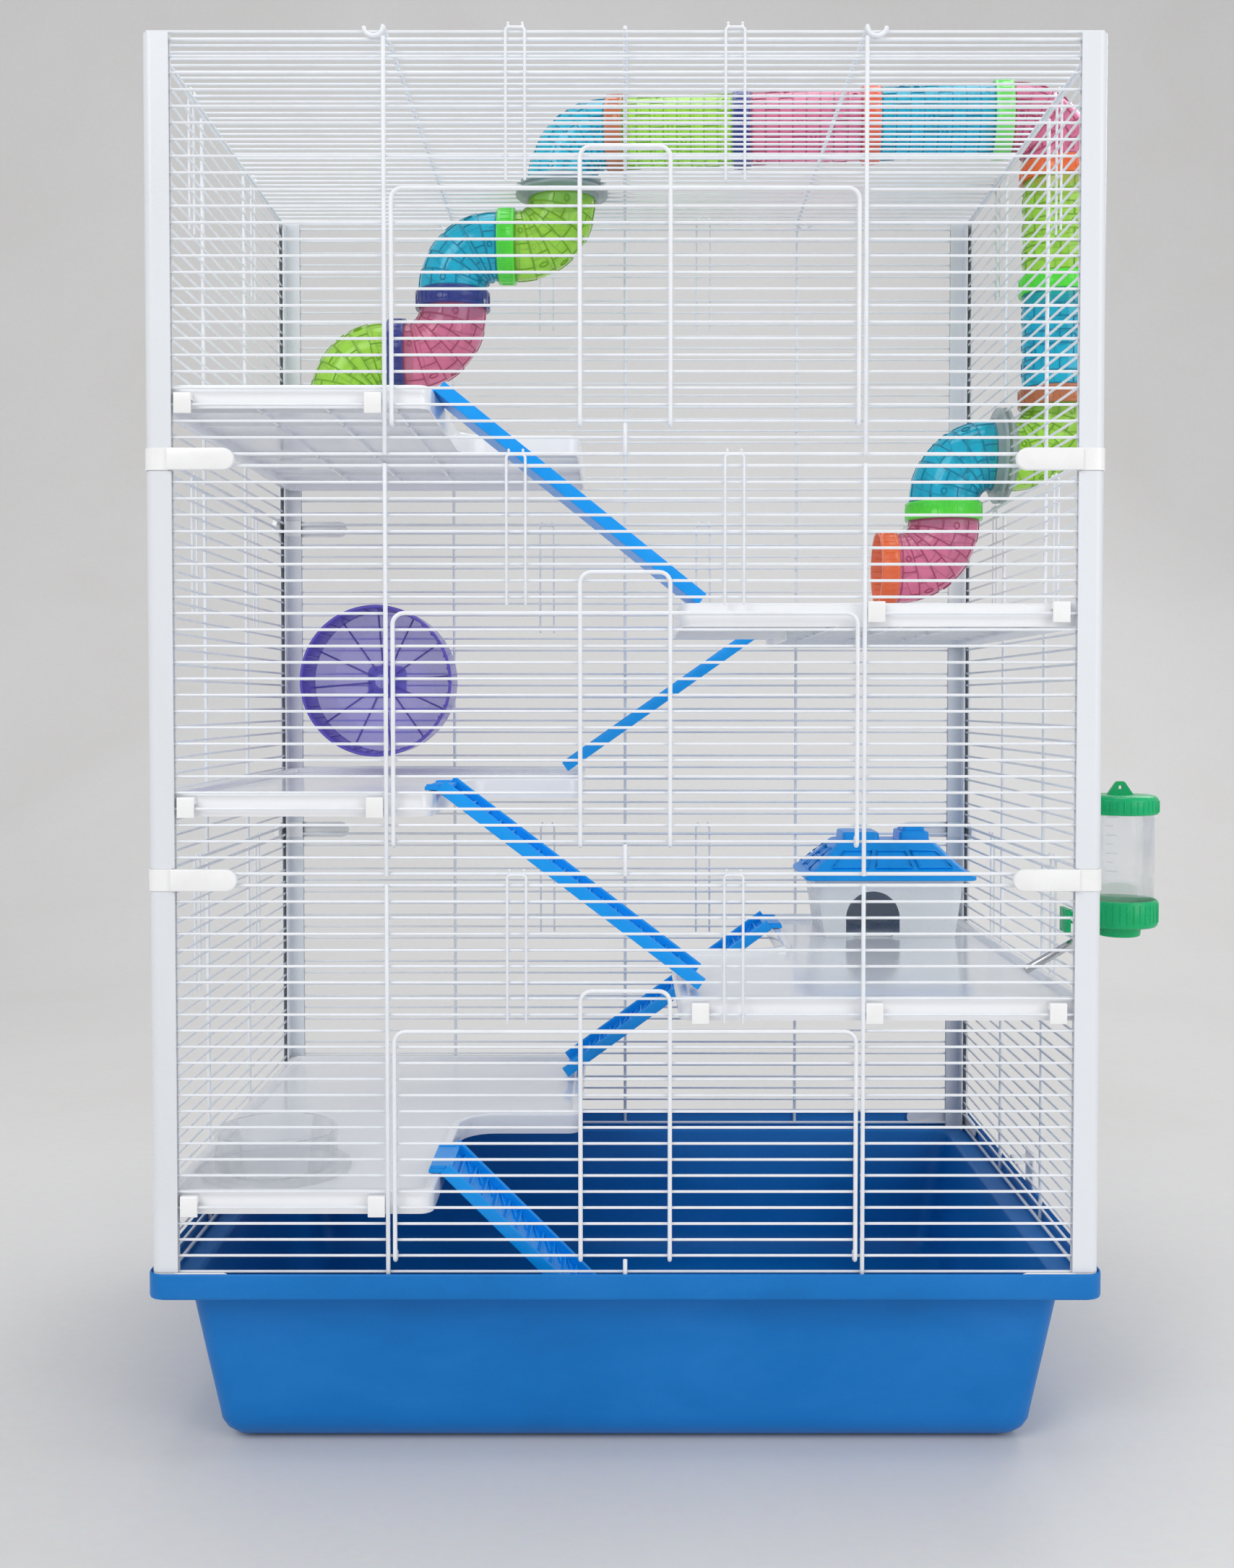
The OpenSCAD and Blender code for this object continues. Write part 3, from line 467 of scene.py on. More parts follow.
# ---------------------------------------------------------------- wire panels
def wall(s, place, half, rods, hooks, door=False, hole=None):
    """One storey of a wall, drawn in the XZ plane with its outside towards -Y."""
    top = row(25)
    for i in (0, 25):
        s.rod([(-half, 0.25, row(i)), (half, 0.25, row(i))], BORDER, place)
    for i in range(1, 25):
        z = row(i)
        if door and 2 < i <= 16:
            spans = [(-half, -150.3), (150.3, half)]
        elif hole and abs(z - hole[1]) < CUT:
            spans = [(-half, hole[0] - CUT), (hole[0] + CUT, half)]
        else:
            spans = [(-half, half)]
        for a, b in spans:
            s.rod([(a, 0, z), (b, 0, z)], WIRE, place, 8)
    for x in rods:
        foot = hole[1] + 39.5 if hole and abs(x - hole[0]) < 40 else -1.2
        s.rod([(x, -2.4, foot), (x, -2.4, top + 1.2)], ROD, place)
    reach = top + 6.8
    for x in hooks:
        path = [(x - 6, -1.9, top - 88), (x - 6, -1.9, reach), (x + 6, -1.9, reach), (x + 6, -1.9, top - 88)]
        s.rod(bend(path, 2.2), WIRE, place)
        for side in (-6, 6):
            curl = [(x + side * 0.75, -1.9 + 1.7 * math.sin(q), reach + 1.7 - 1.7 * math.cos(q))
                    for q in (math.pi * k / 8 for k in range(8))]
            s.rod(curl, 0.8, place, 8)
    if door:
        s.rod([(0, -2.4, -1.2), (0, -2.4, row(2) - 1.6)], ROD, place)


def panels():
    half, side = HALF_W - 6.5, HALF_D - 6.5
    for k, storey in enumerate(("lower", "middle", "upper")):
        s = Shape()
        wall(s, move(0, -WALL_Y, level(k) + EDGE), half, [-151.5, 151.5], [-69, 69], door=True)
        piece(f"front_wires_{storey}", s, "white_wire", stands_for=[f"front_panel_{storey}"])
    back, left, right = Shape(), Shape(), Shape()
    for k in range(3):
        z = level(k) + EDGE
        wall(back, move(0, WALL_Y, z) @ turn("Z", 180), half, [-151.5, 0, 151.5], [-69, 69])
        wall(left, move(-WALL_X, 0, z) @ turn("Z", -90), side, [-61, 61], [-90, 90])
        wall(right, move(WALL_X, 0, z) @ turn("Z", 90), side, [-61, 61], [-90, 90],
             hole=(RISER_Y, CROSS_Z - z) if k == 2 else None)
    piece("back_wires", back, "white_wire", stands_for=["back_panels"])
    piece("left_wires", left, "white_wire", stands_for=["left_panels"])
    piece("right_wires", right, "white_wire", stands_for=["right_panels"])
    s = Shape()
    for i in range(39):
        y = -WALL_Y + i * 2 * WALL_Y / 38
        spans = [(-ROOF_END, ROOF_END)]
        if abs(y - DROP[1]) < CUT:
            spans = [(-ROOF_END, DROP[0] - CUT), (DROP[0] + CUT, ROOF_END)]
        for a, b in spans:
            s.rod([(a, y, ROOF_Z), (b, y, ROOF_Z)], WIRE, sides=8)
    z = ROOF_Z + 2.35
    s.rod([(0, -198, z), (0, 198, z)], ROD)
    for sx in (-1, 1):
        s.rod([(sx * 299, -182, ROOF_Z - 2.15), (sx * 299, 182, ROOF_Z - 2.15)], BORDER)
        curl = [(6 - 6 * math.cos(q), -6 * math.sin(q)) for q in (math.pi * k / 12 for k in range(13))]
        path = [(sx * (151.5 + a), -199.6, z + b) for a, b in reversed(curl)]
        path += [(sx * 151.5, -197.5, z), (sx * 151.5, 197.5, z)]
        path += [(sx * (151.5 + a), 199.6, z + b) for a, b in curl]
        s.rod(path, ROD)
    piece("roof_wires", s, "white_wire", stands_for=["roof_panel"])


def doors():
    """Flap doors: a bent frame, a taller bent latch, and eyes curled round the hinge wire."""
    for k, storey in enumerate(("lower", "middle", "upper")):
        s = Shape()
        place = move(0, -WALL_Y, level(k) + EDGE)
        y, foot = -2.65, row(2)
        for half, top in ((147, row(16)), (28.5, row(18.5))):
            eye = [(-2.65 * math.cos(q), foot - 2.65 * math.sin(q)) for q in
                   (math.radians(285 - 15 * i) for i in range(19))]
            path = [(-half, a, b) for a, b in eye] + [(-half, y, foot + 3)]
            path += bend([(-half, y, foot + 3), (-half, y, top), (half, y, top), (half, y, foot + 3)], 7)[1:]
            path += [(half, a, b) for a, b in reversed(eye)]
            s.rod(path, ROD, place, 12)
        for i in range(3, 16):
            s.rod([(-148.2, -0.3, row(i)), (148.2, -0.3, row(i))], WIRE, place, 8)
        piece(f"door_{storey}_wires", s, "white_door_wire", f"{storey}_door", [f"door_{storey}"])


# ---------------------------------------------------------------- shelves
def shelf_loop(inset, z):
    """Outline of a left shelf, wide at the back, drawn in from its edge all round."""
    d = inset
    pts = [(d, d), (173 - d, d), (173 - d, 187 + d), (262 - d, 187 + d), (262 - d, 387 - d), (d, 387 - d)]
    out, inn = max(9 - d * 0.7, 1), 25 + d
    loop = rounded(pts, [out, out, inn, out, out, out], 7)
    return [(x - SHELF_X, y - SHELF_Y, z) for x, y in loop]


def shelves():
    names = ["shelf_1_left", "shelf_2_right", "shelf_3_left", "shelf_4_right", "shelf_5_left"]
    for i, name in enumerate(names):
        s = Shape()
        place = move(z=SHELF_Z[i]) if i % 2 == 0 else turn("Z", 180) @ move(z=SHELF_Z[i])
        profile = [(0, -15), (0, -1.6), (0.3, -0.6), (1.2, 0), (5.6, 0), (6.5, -0.4), (7, -1.2), (7.5, -3.2),
                   (8.4, -4), (9, -4)]
        inside = [(2.5, -7), (2.5, -14.6), (2.1, -15), (0.4, -15)]
        s.loft([shelf_loop(d, z) for d, z in inside + profile[1:]], place)
        # ribs moulded under the floor
        for x in (-240, -195, -150):
            s.block((x - 0.8, -185, -10), (x + 0.8, 185, -6.9), place)
        for y in (-150, -100, -50, 40, 90, 140):
            s.block((-293, y - 0.8, -10), (-127 if y < 0 else -38, y + 0.8, -6.9), place)
        piece(name + "_moulded", s, "white_shelf", stands_for=[name], sharp=50)
    s = Shape()
    mids = [5.5, 17.5, 4.5, 16.5, 3.5]
    stories = [0, 0, 1, 1, 2]
    spots = [[-279, -159], [48, 159, 276], [-279, -159], [159, 276], [-279, -159]]
    front = -WALL_Y - WIRE
    for i in range(5):
        z = level(stories[i]) + EDGE + row(mids[i])
        for x in spots[i]:
            hook = [(front - 1.7, z - 11), (front - 0.1, z - 11),
                    (front - 0.1, z - 2.4), (-SHELF_Y - 0.1, z - 2.4),
                    (-SHELF_Y - 0.1, z + 2.4), (front - 1.7, z + 2.4)]
            hook = rounded(hook, [0.7, 0.5, 0.3, 0.3, 0.3, 1.2], 3)
            s.loft([[(x + at, y, h) for y, h in hook] for at in (-5.5, 5.5)])
    piece("shelf_clips_moulded", s, "white_clip", stands_for=["shelf_clips"], bevel=0.3, sharp=50)


# ---------------------------------------------------------------- ramps
def ramps():
    for i in range(5):
        upper = SHELF_Z[i]
        lower = SHELF_Z[i - 1] + 0.6 if i else 3.5
        y0 = RAMP_Y if i else FIRST_RAMP_Y
        x0, x1 = -122.9, 47.5
        slope = math.degrees(math.atan2(upper - lower, x1 - x0))
        length = math.hypot(x1 - x0, upper - lower)
        half = RAMP_W / 2
        base = move(0, -y0, 0) if i % 2 == 0 else turn("Z", 180) @ move(0, -y0, 0)
        place = base @ move(x0, 0, upper) @ turn("Y", slope)
        s = Shape()
        s.block((0, 0.6 - half, 0), (length, half - 0.6, 2.2), place)
        for side in (-1, 1):
            rail = [(half - 3, 0), (half, 0), (half, 7.6),
                    (half - 0.7, 8.8), (half - 2.1, 8.8), (half - 3, 7.8)]
            s.loft([[(x, side * a, b) for a, b in rail] for x in (0, length)], place)
        # chevron treads with a low step across each
        step = ((0, 0), (2.6, 0), (2.1, 2.6), (0.7, 2.9))
        wing = ((0, 0), (1.8, 0), (1.4, 1.8), (0.4, 1.8))
        for k in range(int((length - 16) / TREAD)):
            x = 10 + TREAD * k
            s.loft([[(x + dx, y, 2 + dz) for dx, dz in step] for y in (3.4 - half, half - 3.4)], place)
            for side in (-1, 1):
                s.loft([[(x + dx + a, side * y, 2 + dz) for dx, dz in wing]
                        for a, y in ((2.6, half - 3.6), (8.6, 9))], place)
        s.block((x0 - 8, 0.6 - half, upper + 0.4), (x0 + 7, half - 0.6, upper + 3), base)
        for side in (-1, 1):
            y = side * (half - 5)
            s.rod([(x0 - 7.5, y, upper + 3), (x0 + 4, y, upper + 3.2)], 1.3, base)
        piece(f"ramp_{i + 1}_moulded", s, "blue_ramp", stands_for=[f"ramp_{i + 1}"], bevel=0.5)


# ---------------------------------------------------------------- running wheel
def at_wheel(y):
    return move(WHEEL_X, y, WHEEL_Z) @ turn("X", 90)


def running_wheel():
    s = Shape()
    place = at_wheel(178)
    r, deep = WHEEL_R, WHEEL_DEEP
    rim = [(r - 0.7, 0), (r, 0.7), (r, deep - 3.4), (r + 0.4, deep - 2.8), (r + 0.4, deep - 0.6),
           (r - 0.2, deep), (r - 1.6, deep), (r - 2.1, deep - 0.6), (r - 2.1, 3), (r - 3.1, 2)]
    disc = [(46, 2), (44.6, 2.5), (43, 2.5), (41.6, 2), (16, 2), (13, 3)]
    hub = [(9, 8.6), (8, 11.4), (7.4, 12), (3.2, 12), (3.2, -5), (7.6, -5), (8, -4.4), (8, 0)]
    s.lathe(rim + disc + hub, place, 96)
    shell = len(s.faces)
    for k in range(12):
        s.loft([[(r, w, h) for w, h in ((-0.8, 1.6), (0.8, 1.6), (0.5, tall), (-0.5, tall))]
                for r, tall in ((11, 5.2), (30, 3.9), (61.6, 3.4))], place @ turn("Z", 30 * k + 5))
    for k in range(36):
        s.loft([[(r, w, h) for r, w in ((61.8, -1), (61.8, 1), (60.2, 0.6), (60.2, -0.6))] for h in (3, 50)],
               place @ turn("Z", 10 * k))
    drum = piece("wheel_drum", s, "purple_wheel", "running_wheel", ["wheel"], sharp=40)
    deepen(drum, shell, "purple_wheel_rib")
    # the drum's wall shows the deeper colour too
    for face in drum.data.polygons[:shell]:
        if math.hypot(face.center.x / MM - WHEEL_X, face.center.z / MM - WHEEL_Z) > r - 2.7:
            face.material_index = 1
    s = Shape()
    s.loft([rectangle(17, 14, 6, z) for z in (0, 3.5)] + [rectangle(16, 13, 5, 4)], at_wheel(194))
    s.rod([(0, 0, 0), (0, 0, 26.5)], 2.9, at_wheel(192), 24)
    for side in (-1, 1):
        z = level(1) + EDGE + row(12.5 + side)
        s.block((WHEEL_X - 8, 193, z - 2.2), (WHEEL_X + 8, 200, z + 2.2))
    piece("wheel_bracket_moulded", s, "lilac_plastic", stands_for=["wheel_bracket"], bevel=0.4)
    s = Shape()
    outline = [(x, y) for x, y, _ in circle(6, 0, 40)]
    s.prism(outline, 0, 2.2, at_wheel(165.5))
    for side in (-1, 1):
        half = [(x, y) for x, y in outline if side * x > 0.9]
        half.sort(key=lambda p: side * p[1])
        s.prism(half, 2, 3, at_wheel(165.5))
    piece("wheel_axle_cap_moulded", s, "lilac_plastic", stands_for=["wheel_axle_cap"], bevel=0.25)


# ---------------------------------------------------------------- hut
def hut():
    keep("house_base", "milky_plastic")
    place = move(HUT_X, HUT_Y, SHELF_Z[1] - FLOOR_BELOW_RIM + 0.1 + HUT_H + 0.3)
    s = Shape()
    outer = [(69.2, 51.2, 6, 0), (70, 52, 6, 0.8), (70, 52, 6, 3.2), (69.2, 51.2, 6, 4), (61, 45.4, 6, 9.4),
             (53, 38.4, 6, 16.5), (45.8, 31.6, 6, 24), (41.6, 28, 6, 28.6),
             (39.4, 26.2, 5, 29.8), (37.6, 24.6, 4, 30)]
    inner = [(36, 24, 3, 27.4), (50, 35.5, 4, 14), (65.5, 47.6, 5, 0)]
    s.loft([rectangle(*v) for v in inner + outer], place)
    for x0, x1, hy, h in ((-36, -5, 22, 8.4), (12, 37, 19, 9)):
        cx, hx = (x0 + x1) / 2, (x1 - x0) / 2
        s.loft([rectangle(hx + grow, hy + grow, 4, z)
                for grow, z in ((1.5, 29), (0, 31), (-0.4, 29 + h - 1), (-1.4, 29 + h))],
               place @ move(cx))
    s.loft([rectangle(9, 15, 3, z) for z in (37, 41)] + [rectangle(8.2, 14.2, 3, 41.8)], place @ move(24.5))
    # window frames standing proud of the slopes
    def slope(a, v):
        return (-69.5 + a * 27.5, v * (50 - a * 21), 4.4 + a * 24.2)
    for v0, v1 in ((-0.72, -0.12), (0.12, 0.72)):
        for a0, a1 in ((0.16, 0.46), (0.54, 0.84)):
            s.rod([slope(a0, v0), slope(a0, v1), slope(a1, v1), slope(a1, v0)], 0.9, place, 8, True)
    def gable(u, a):
        return (u * (66 - a * 26), -51.6 + a * 23.4, 4.6 + a * 24)
    for u0, u1 in ((-0.8, -0.3), (-0.2, 0.3), (0.4, 0.85)):
        s.rod([gable(u0, 0.25), gable(u1, 0.25), gable(u1, 0.78), gable(u0, 0.78)], 0.9, place, 8, True)
    piece("house_roof_moulded", s, "blue_ramp", "hut_roof", ["house_roof"], sharp=35)


# ---------------------------------------------------------------- dish and bottle
def dish():
    s = Shape()
    s.lathe([(0.5, 0), (49.6, 0), (50.6, 0.5), (50.8, 1.6), (50.3, 2.8), (49.4, 3.1), (48.4, 2.7),
             (46.4, 2), (41.6, 2.2), (41, 3.4), (41.2, 26.4), (40.9, 27.6), (40.2, 28),
             (39.5, 27.6), (39.2, 26.4), (39, 4.6), (38, 2.6), (36, 2), (0.5, 2)],
            move(DISH_X, DISH_Y, SHELF_Z[0] - FLOOR_BELOW_RIM + 0.1), 96)
    piece("food_dish_moulded", s, "clear_plastic", stands_for=["food_dish"], sharp=50)


def at_bottle(z=0.0):
    return move(BOTTLE_X, BOTTLE_Y, BOTTLE_Z + z)


def bottle():
    s = Shape()
    r = CAP_R
    s.lathe([(r - 1.4, 0), (r - 0.4, 0.4), (r, 1.4), (r, 9.6), (r - 0.6, 11), (r - 2.2, 12.4),
             (r - 5, 13), (0.5, 13), (0.5, 11), (r - 2.6, 11),
             (r - 1.7, 10), (r - 1.7, 0)], at_bottle(79), 72)
    for k in range(36):
        s.rod([(r, 0, 1.6), (r, 0, 9.4)], 0.55, at_bottle(79) @ turn("Z", 10 * k), 6)
    outline = rounded([(-9, 0), (9, 0), (2.6, 9.3), (-2.6, 9.3)], [0.3, 0.3, 2.2, 2.2], 5)
    hole = [(1.6 * math.cos(q), 5 + 1.6 * math.sin(q)) for q in
            (math.atan2(z - 5, x) for x, z in outline)]
    tab = at_bottle(91.6)
    s.loft([[(x, y, z) for x, z in loop]
            for y, loop in ((-1.5, outline), (1.5, outline), (1.5, hole), (-1.5, hole))],
           tab, closed=True)
    piece("bottle_cap_moulded", s, "green_plastic", stands_for=["bottle_cap"], sharp=35)

    s = Shape()
    r = BODY_R
    s.lathe([(0.5, 0), (r - 2, 0), (r - 0.6, 0.5), (r, 2), (r, 22), (r - 0.4, 23), (r - 0.4, 24),
             (r, 25), (r, 62), (r - 0.8, 64), (r - 0.8, 73), (r - 1.6, 74), (r - 2.2, 73),
             (r - 2.2, 64), (r - 1.6, 62), (r - 1.6, 3), (r - 3, 1.6), (0.5, 1.6)],
            at_bottle(14.3), 72)
    for k, z in enumerate(range(28, 66, 6)):
        wide = 6 if k % 2 else 10
        mark = [(r * math.sin(q), -r * math.cos(q), z)
                for q in (math.radians(-40 + wide * t / 2) for t in range(5))]
        s.rod(mark, 0.4, at_bottle(14.3), 6)
    piece("bottle_body_blown", s, "clear_plastic", stands_for=["bottle_body"], sharp=50)

    s = Shape()
    r = CAP_R
    s.lathe([(12.6, -3), (13.6, -2.6), (14, -1.4), (14.4, 2.6), (16, 3.6), (23.6, 4),
             (24.7, 5), (r, 6.4), (r, 20.8), (r - 0.6, 21.8), (r - 1.6, 22), (r - 2.2, 21),
             (r - 2.2, 14), (0.5, 14), (0.5, 12), (0.5, -3)], at_bottle(), 72)
    for k in range(36):
        s.rod([(r, 0, 7), (r, 0, 20)], 0.5, at_bottle() @ turn("Z", 10 * k + 5), 6)
    clip = level(0) + EDGE + row(22.5)
    s.block((WALL_X - 3.5, BOTTLE_Y - 7, clip - 2.2), (BOTTLE_X - 21.5, BOTTLE_Y + 7, clip + 2.2))
    x0, x1, y0, y1 = WALL_X - 5, WALL_X - 2, BOTTLE_Y - 9, BOTTLE_Y + 9
    s.prism(rounded([(x0, y0), (x1, y0), (x1, y1), (x0, y1)], [0.7] * 4, 3), clip - 12, clip + 4)
    piece("bottle_base_moulded", s, "green_plastic", stands_for=["bottle_base"], sharp=35)

    spout = move(WALL_X, BOTTLE_Y, level(0) + EDGE + row(20.5)) @ turn("Y", 60)
    s = Shape()
    s.lathe([(2.05, -35), (2.7, -34.9), (3, -34.5), (3.0, -31), (2.75, -30.2),
             (2.75, -29.6), (3, -28.8), (3, 30), (2.6, 30.6),
             (2.5, 30), (2.5, -32.8), (2.05, -34.2)], spout, 40)
    piece("bottle_spout_turned", s, "steel", stands_for=["bottle_spout"], sharp=50)
    s = Shape()
    steps = [math.pi * k / 16 for k in range(1, 16)]
    s.loft([circle(2.3 * math.sin(q), -33.05 - 2.3 * math.cos(q), 28) for q in steps], spout)
    piece("spout_ball_turned", s, "steel", "ball", ["spout_ball"], sharp=60)


# ---------------------------------------------------------------- tubes
def straight(length):
    """Surface of a straight tube: place along it, angle round it, height off it."""
    def at(u, a, r):
        return Vector((r * math.cos(a), r * math.sin(a), u))
    return at, length


def elbow():
    """Surface of an elbow from the -X face to the -Z face of its corner."""
    flat = LEG - BEND - 0.15
    length = 2 * flat + BEND * math.pi / 2

    def at(u, a, r):
        if u < flat:
            centre, out = Vector((-BEND - flat + u, 0, 0)), Vector((0, 0, 1))
        elif u > length - flat:
            centre, out = Vector((0, 0, -BEND - (u - length + flat))), Vector((1, 0, 0))
        else:
            q = (u - flat) / BEND
            out = Vector((math.sin(q), 0, math.cos(q)))
            centre = Vector((-BEND, 0, -BEND)) + BEND * out
        return centre + out * r * math.cos(a) + Vector((0, 1, 0)) * r * math.sin(a)
    return at, length


def tube(name, surface, place, look, skew=0):
    """A tube with brick ribs and air holes; skew shifts the pattern of the holes."""
    at, length = surface
    s = Shape()
    n = 56
    angles = [2 * math.pi * k / n for k in range(n)]
    rows = max(2, round(length / 4))
    stations = [0, 0.8, 1.6] + [1.6 + (length - 3.2) * k / rows for k in range(1, rows)]
    stations += [length - 1.6, length - 0.8, length]

    def shell(u):
        """Outer radius: a bead at each mouth."""
        return TUBE_R + 0.25 * (min(u, length - u) < 1.2)
    outer = [[at(u, a, shell(u)) for a in angles] for u in stations]
    inner = [[at(u, a, TUBE_IN) for a in angles] for u in reversed(stations)]
    s.loft(outer + inner, place, closed=True)
    walls = len(s.faces)
    # brickwork of low ribs round the outside
    courses = max(4, round((length - 16) / 10.5))
    lines = [8 + (length - 16) * k / courses for k in range(courses + 1)]
    for u in lines:
        s.rod([at(u, a, TUBE_R) for a in angles[::2]], RIB_R, place, 6, True)
    bricks = 8
    for k, (a0, a1) in enumerate(zip(lines, lines[1:])):
        for b in range(bricks):
            a = 2 * math.pi * (b + (k % 2) / 2) / bricks + 0.2
            s.rod([at(a0 + (a1 - a0) * t / 3, a, TUBE_R) for t in range(4)], RIB_R, place, 6)
    # ring-shaped air holes
    for k, (a0, a1) in enumerate(zip(lines, lines[1:])):
        for b in range(bricks):
            if (3 * k + 2 * b + skew) % 5 == 0:
                mid, centre = (a0 + a1) / 2, 2 * math.pi * (b + 0.5 + (k % 2) / 2) / bricks + 0.2
                ring = [at(mid + 2.1 * math.cos(q), centre + 2.1 * math.sin(q) / TUBE_R, TUBE_R + 0.2)
                        for q in (2 * math.pi * j / 16 for j in range(16))]
                s.rod(ring, 0.55, place, 6, True)
    obj = piece(name + "_moulded", s, look, stands_for=[name], sharp=60)
    deepen(obj, walls, look + "_rib")


def collar(name, place, look):
    """Grip ring that joins two tubes: beads at its rims and shallow flutes between."""
    s = Shape()
    low, high = GRIP_IN, 30.2
    s.lathe([(low, -7), (high, -7), (high + 0.5, -6.4), (high + 0.5, -5), (high, -4.4),
             (high, 4.4), (high + 0.5, 5), (high + 0.5, 6.4), (high, 7), (low, 7)], place, 72)
    for k in range(36):
        s.rod([(high, 0, -4.2), (high, 0, 4.2)], 0.45, place @ turn("Z", 10 * k), 6)
    piece(name, s, look, stands_for=["tube_rings"], sharp=40)


def spool(name, node, place):
    """Flange pair that grips the cut wires."""
    s = Shape()
    s.lathe([(GRIP_IN, -8), (30, -8), (30, -4), (37.4, -4), (38, -3.5), (38, -1.7),
             (37.4, -1.2), (30.2, -1.2), (30.2, 1.2), (37.4, 1.2),
             (38, 1.7), (38, 3.5), (37.4, 4), (30, 4), (30, 8), (GRIP_IN, 8)],
            place, 72)
    for k in range(24):
        s.block((31, -0.6, 3.8), (37, 0.6, 4.5), place @ turn("Z", 15 * k))
    piece(name, s, "frosted_plastic", stands_for=[node], bevel=0.2)


def tubes():
    upper, lower = ROOF_Z - LEG, ROOF_Z - 3 * LEG
    left = [DROP[0] - LEG * k for k in range(5)]
    on_roof = move(DROP[0], DROP[1], ROOF_Z + LEG) @ turn("Z", -6)
    across, down = turn("Y", 90), flip(z=-1)
    back = flip(x=-1)
    bends = [
        ("tube_01_elbow", "green_tube", move(left[4], DROP[1], lower) @ back),
        ("tube_02_elbow", "pink_tube", move(left[2], DROP[1], lower) @ down),
        ("tube_03_elbow", "blue_tube", move(left[2], DROP[1], upper) @ back),
        ("tube_04_elbow", "green_tube", move(left[0], DROP[1], upper) @ down),
        ("tube_05_elbow", "blue_tube", on_roof @ back),
        ("tube_09_elbow", "pink_tube", on_roof @ move(RUN)),
        ("tube_12_elbow", "green_tube", move(RISER_X, RISER_Y, CROSS_Z) @ down),
        ("tube_13_elbow", "blue_tube", move(WALL_X - LEG, RISER_Y, CROSS_Z) @ back),
        ("tube_14_elbow", "pink_tube", move(WALL_X - LEG, RISER_Y, CROSS_Z - 2 * LEG) @ down),
    ]
    for name, look, place in bends:
        tube(name, elbow(), place, look)
    for k, look in enumerate(("green_tube", "pink_tube", "blue_tube")):
        place = on_roof @ move(LEG + k * LONG + 0.15) @ across
        tube(f"tube_{6 + k:02d}_straight", straight(LONG - 0.3), place, look, skew=1)
    for k, look in enumerate(("green_tube", "blue_tube")):
        place = move(RISER_X, RISER_Y, ROOF_Z - (k + 1) * SHORT + 0.15)
        tube(f"tube_{10 + k}_straight", straight(SHORT - 0.3), place, look, skew=1)
    collars = [("lime", move(left[4], DROP[1], lower - LEG - 1.5)),
               ("navy", move(left[3], DROP[1], lower) @ across),
               ("navy", move(left[2], DROP[1], lower + LEG)),
               ("lime", move(left[1], DROP[1], upper) @ across)]
    for k, shade in enumerate(("brown", "navy", "red", "mint")):
        collars.append((shade, on_roof @ move(LEG + k * LONG) @ across))
    for k, shade in enumerate(("orange", "lime", "brown")):
        collars.append((shade, move(RISER_X, RISER_Y, ROOF_Z - k * SHORT)))
    collars.append(("lime", move(WALL_X - LEG, RISER_Y, CROSS_Z - LEG)))
    collars.append(("orange", move(WALL_X - 2 * LEG - 1.5, RISER_Y, CROSS_Z - 2 * LEG) @ across))
    for k, (shade, place) in enumerate(collars):
        collar(f"tube_ring_{k + 1:02d}", place, "ring_" + shade)
    spool("roof_flange_moulded", "roof_flange", move(DROP[0], DROP[1], ROOF_Z))
    spool("wall_flange_moulded", "wall_flange", move(WALL_X, RISER_Y, CROSS_Z) @ across)


tray()
latches()
connectors()
panels()
doors()
shelves()
ramps()
running_wheel()
hut()
dish()
bottle()
tubes()
for corner in ("front_left", "front_right", "back_left", "back_right"):
    keep("posts_" + corner, "white_post")


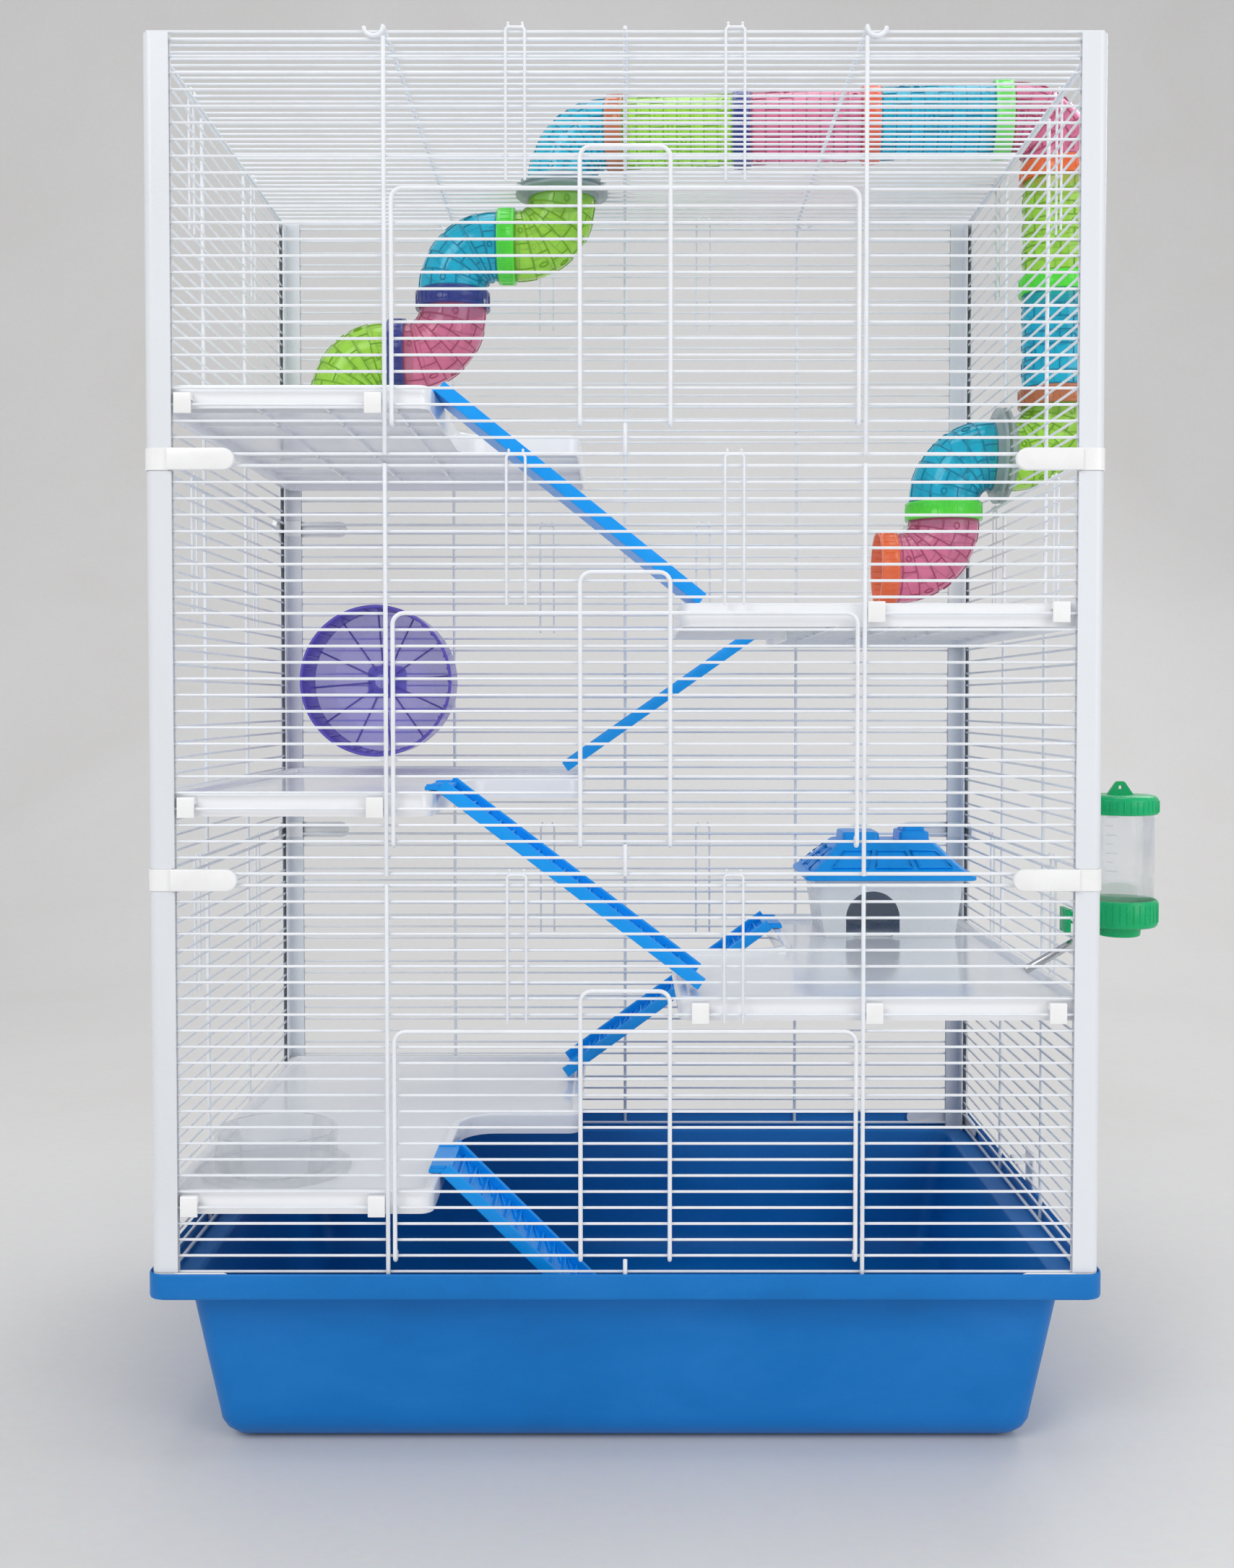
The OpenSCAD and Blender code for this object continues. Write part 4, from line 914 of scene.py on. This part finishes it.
# ---------------------------------------------------------------- setting and camera
def studio():
    s = Shape()
    profile = [(-4.5, 0.0), (1.3, 0.0)]
    profile += [(1.3 + 1.2 * math.sin(q), 1.2 - 1.2 * math.cos(q))
                for q in (math.pi / 24 * k for k in range(1, 13))]
    profile.append((2.5, 5.5))
    points = [(x * 1000, y * 1000, z * 1000 - 0.4) for y, z in profile for x in (-6, 6)]
    s.add(points, [[2 * i, 2 * i + 1, 2 * i + 3, 2 * i + 2] for i in range(len(profile) - 1)])
    mesh = bpy.data.meshes.new("floor")
    mesh.from_pydata([tuple(p * MM) for p in s.points], [], s.faces)
    mesh.shade_smooth()
    floor = bpy.data.objects.new("floor", mesh)
    bpy.context.scene.collection.objects.link(floor)
    finish("pale_floor", (0.70, 0.695, 0.69), (0.55, 0.7), cloud=2, fleck=120, vary=0.03, bump=0.04)
    mesh.materials.append(FINISHES["pale_floor"][0])

    world = bpy.data.worlds.new("studio")
    bpy.context.scene.world = world
    world.use_nodes = True
    world.node_tree.nodes["Background"].inputs["Color"].default_value = (0.98, 0.985, 1.0, 1)
    world.node_tree.nodes["Background"].inputs["Strength"].default_value = 0.66
    for name, place, aim, size, watts in (
            ("key", (-1.5, -2.2, 2.3), (0, 0, 0.5), 1.6, 26),
            ("fill", (1.9, -1.9, 1.2), (0, 0, 0.5), 1.8, 15),
            ("top", (0.1, 0.2, 2.6), (0, 0, 0.5), 1.6, 15),
            ("rim", (1.4, 1.6, 1.9), (0, 0, 0.6), 1.0, 9)):
        lamp = bpy.data.lights.new(name, "AREA")
        lamp.shape, lamp.size, lamp.energy = "DISK", size, watts
        lit = bpy.data.objects.new(name, lamp)
        lit.location = place
        lit.rotation_euler = (Vector(aim) - Vector(place)).to_track_quat("-Z", "Y").to_euler()
        bpy.context.scene.collection.objects.link(lit)

    lens = bpy.data.cameras.new("camera")
    lens.sensor_width, lens.lens = 36, 35.8
    lens.shift_x, lens.shift_y = -0.0052, -0.0231
    camera = bpy.data.objects.new("camera", lens)
    camera.location = (0, -1.187, 0.4867)
    camera.rotation_euler = (math.radians(88.34), 0, 0)
    bpy.context.scene.collection.objects.link(camera)
    bpy.context.scene.camera = camera
    bpy.context.scene.view_settings.view_transform = "Standard"


studio()
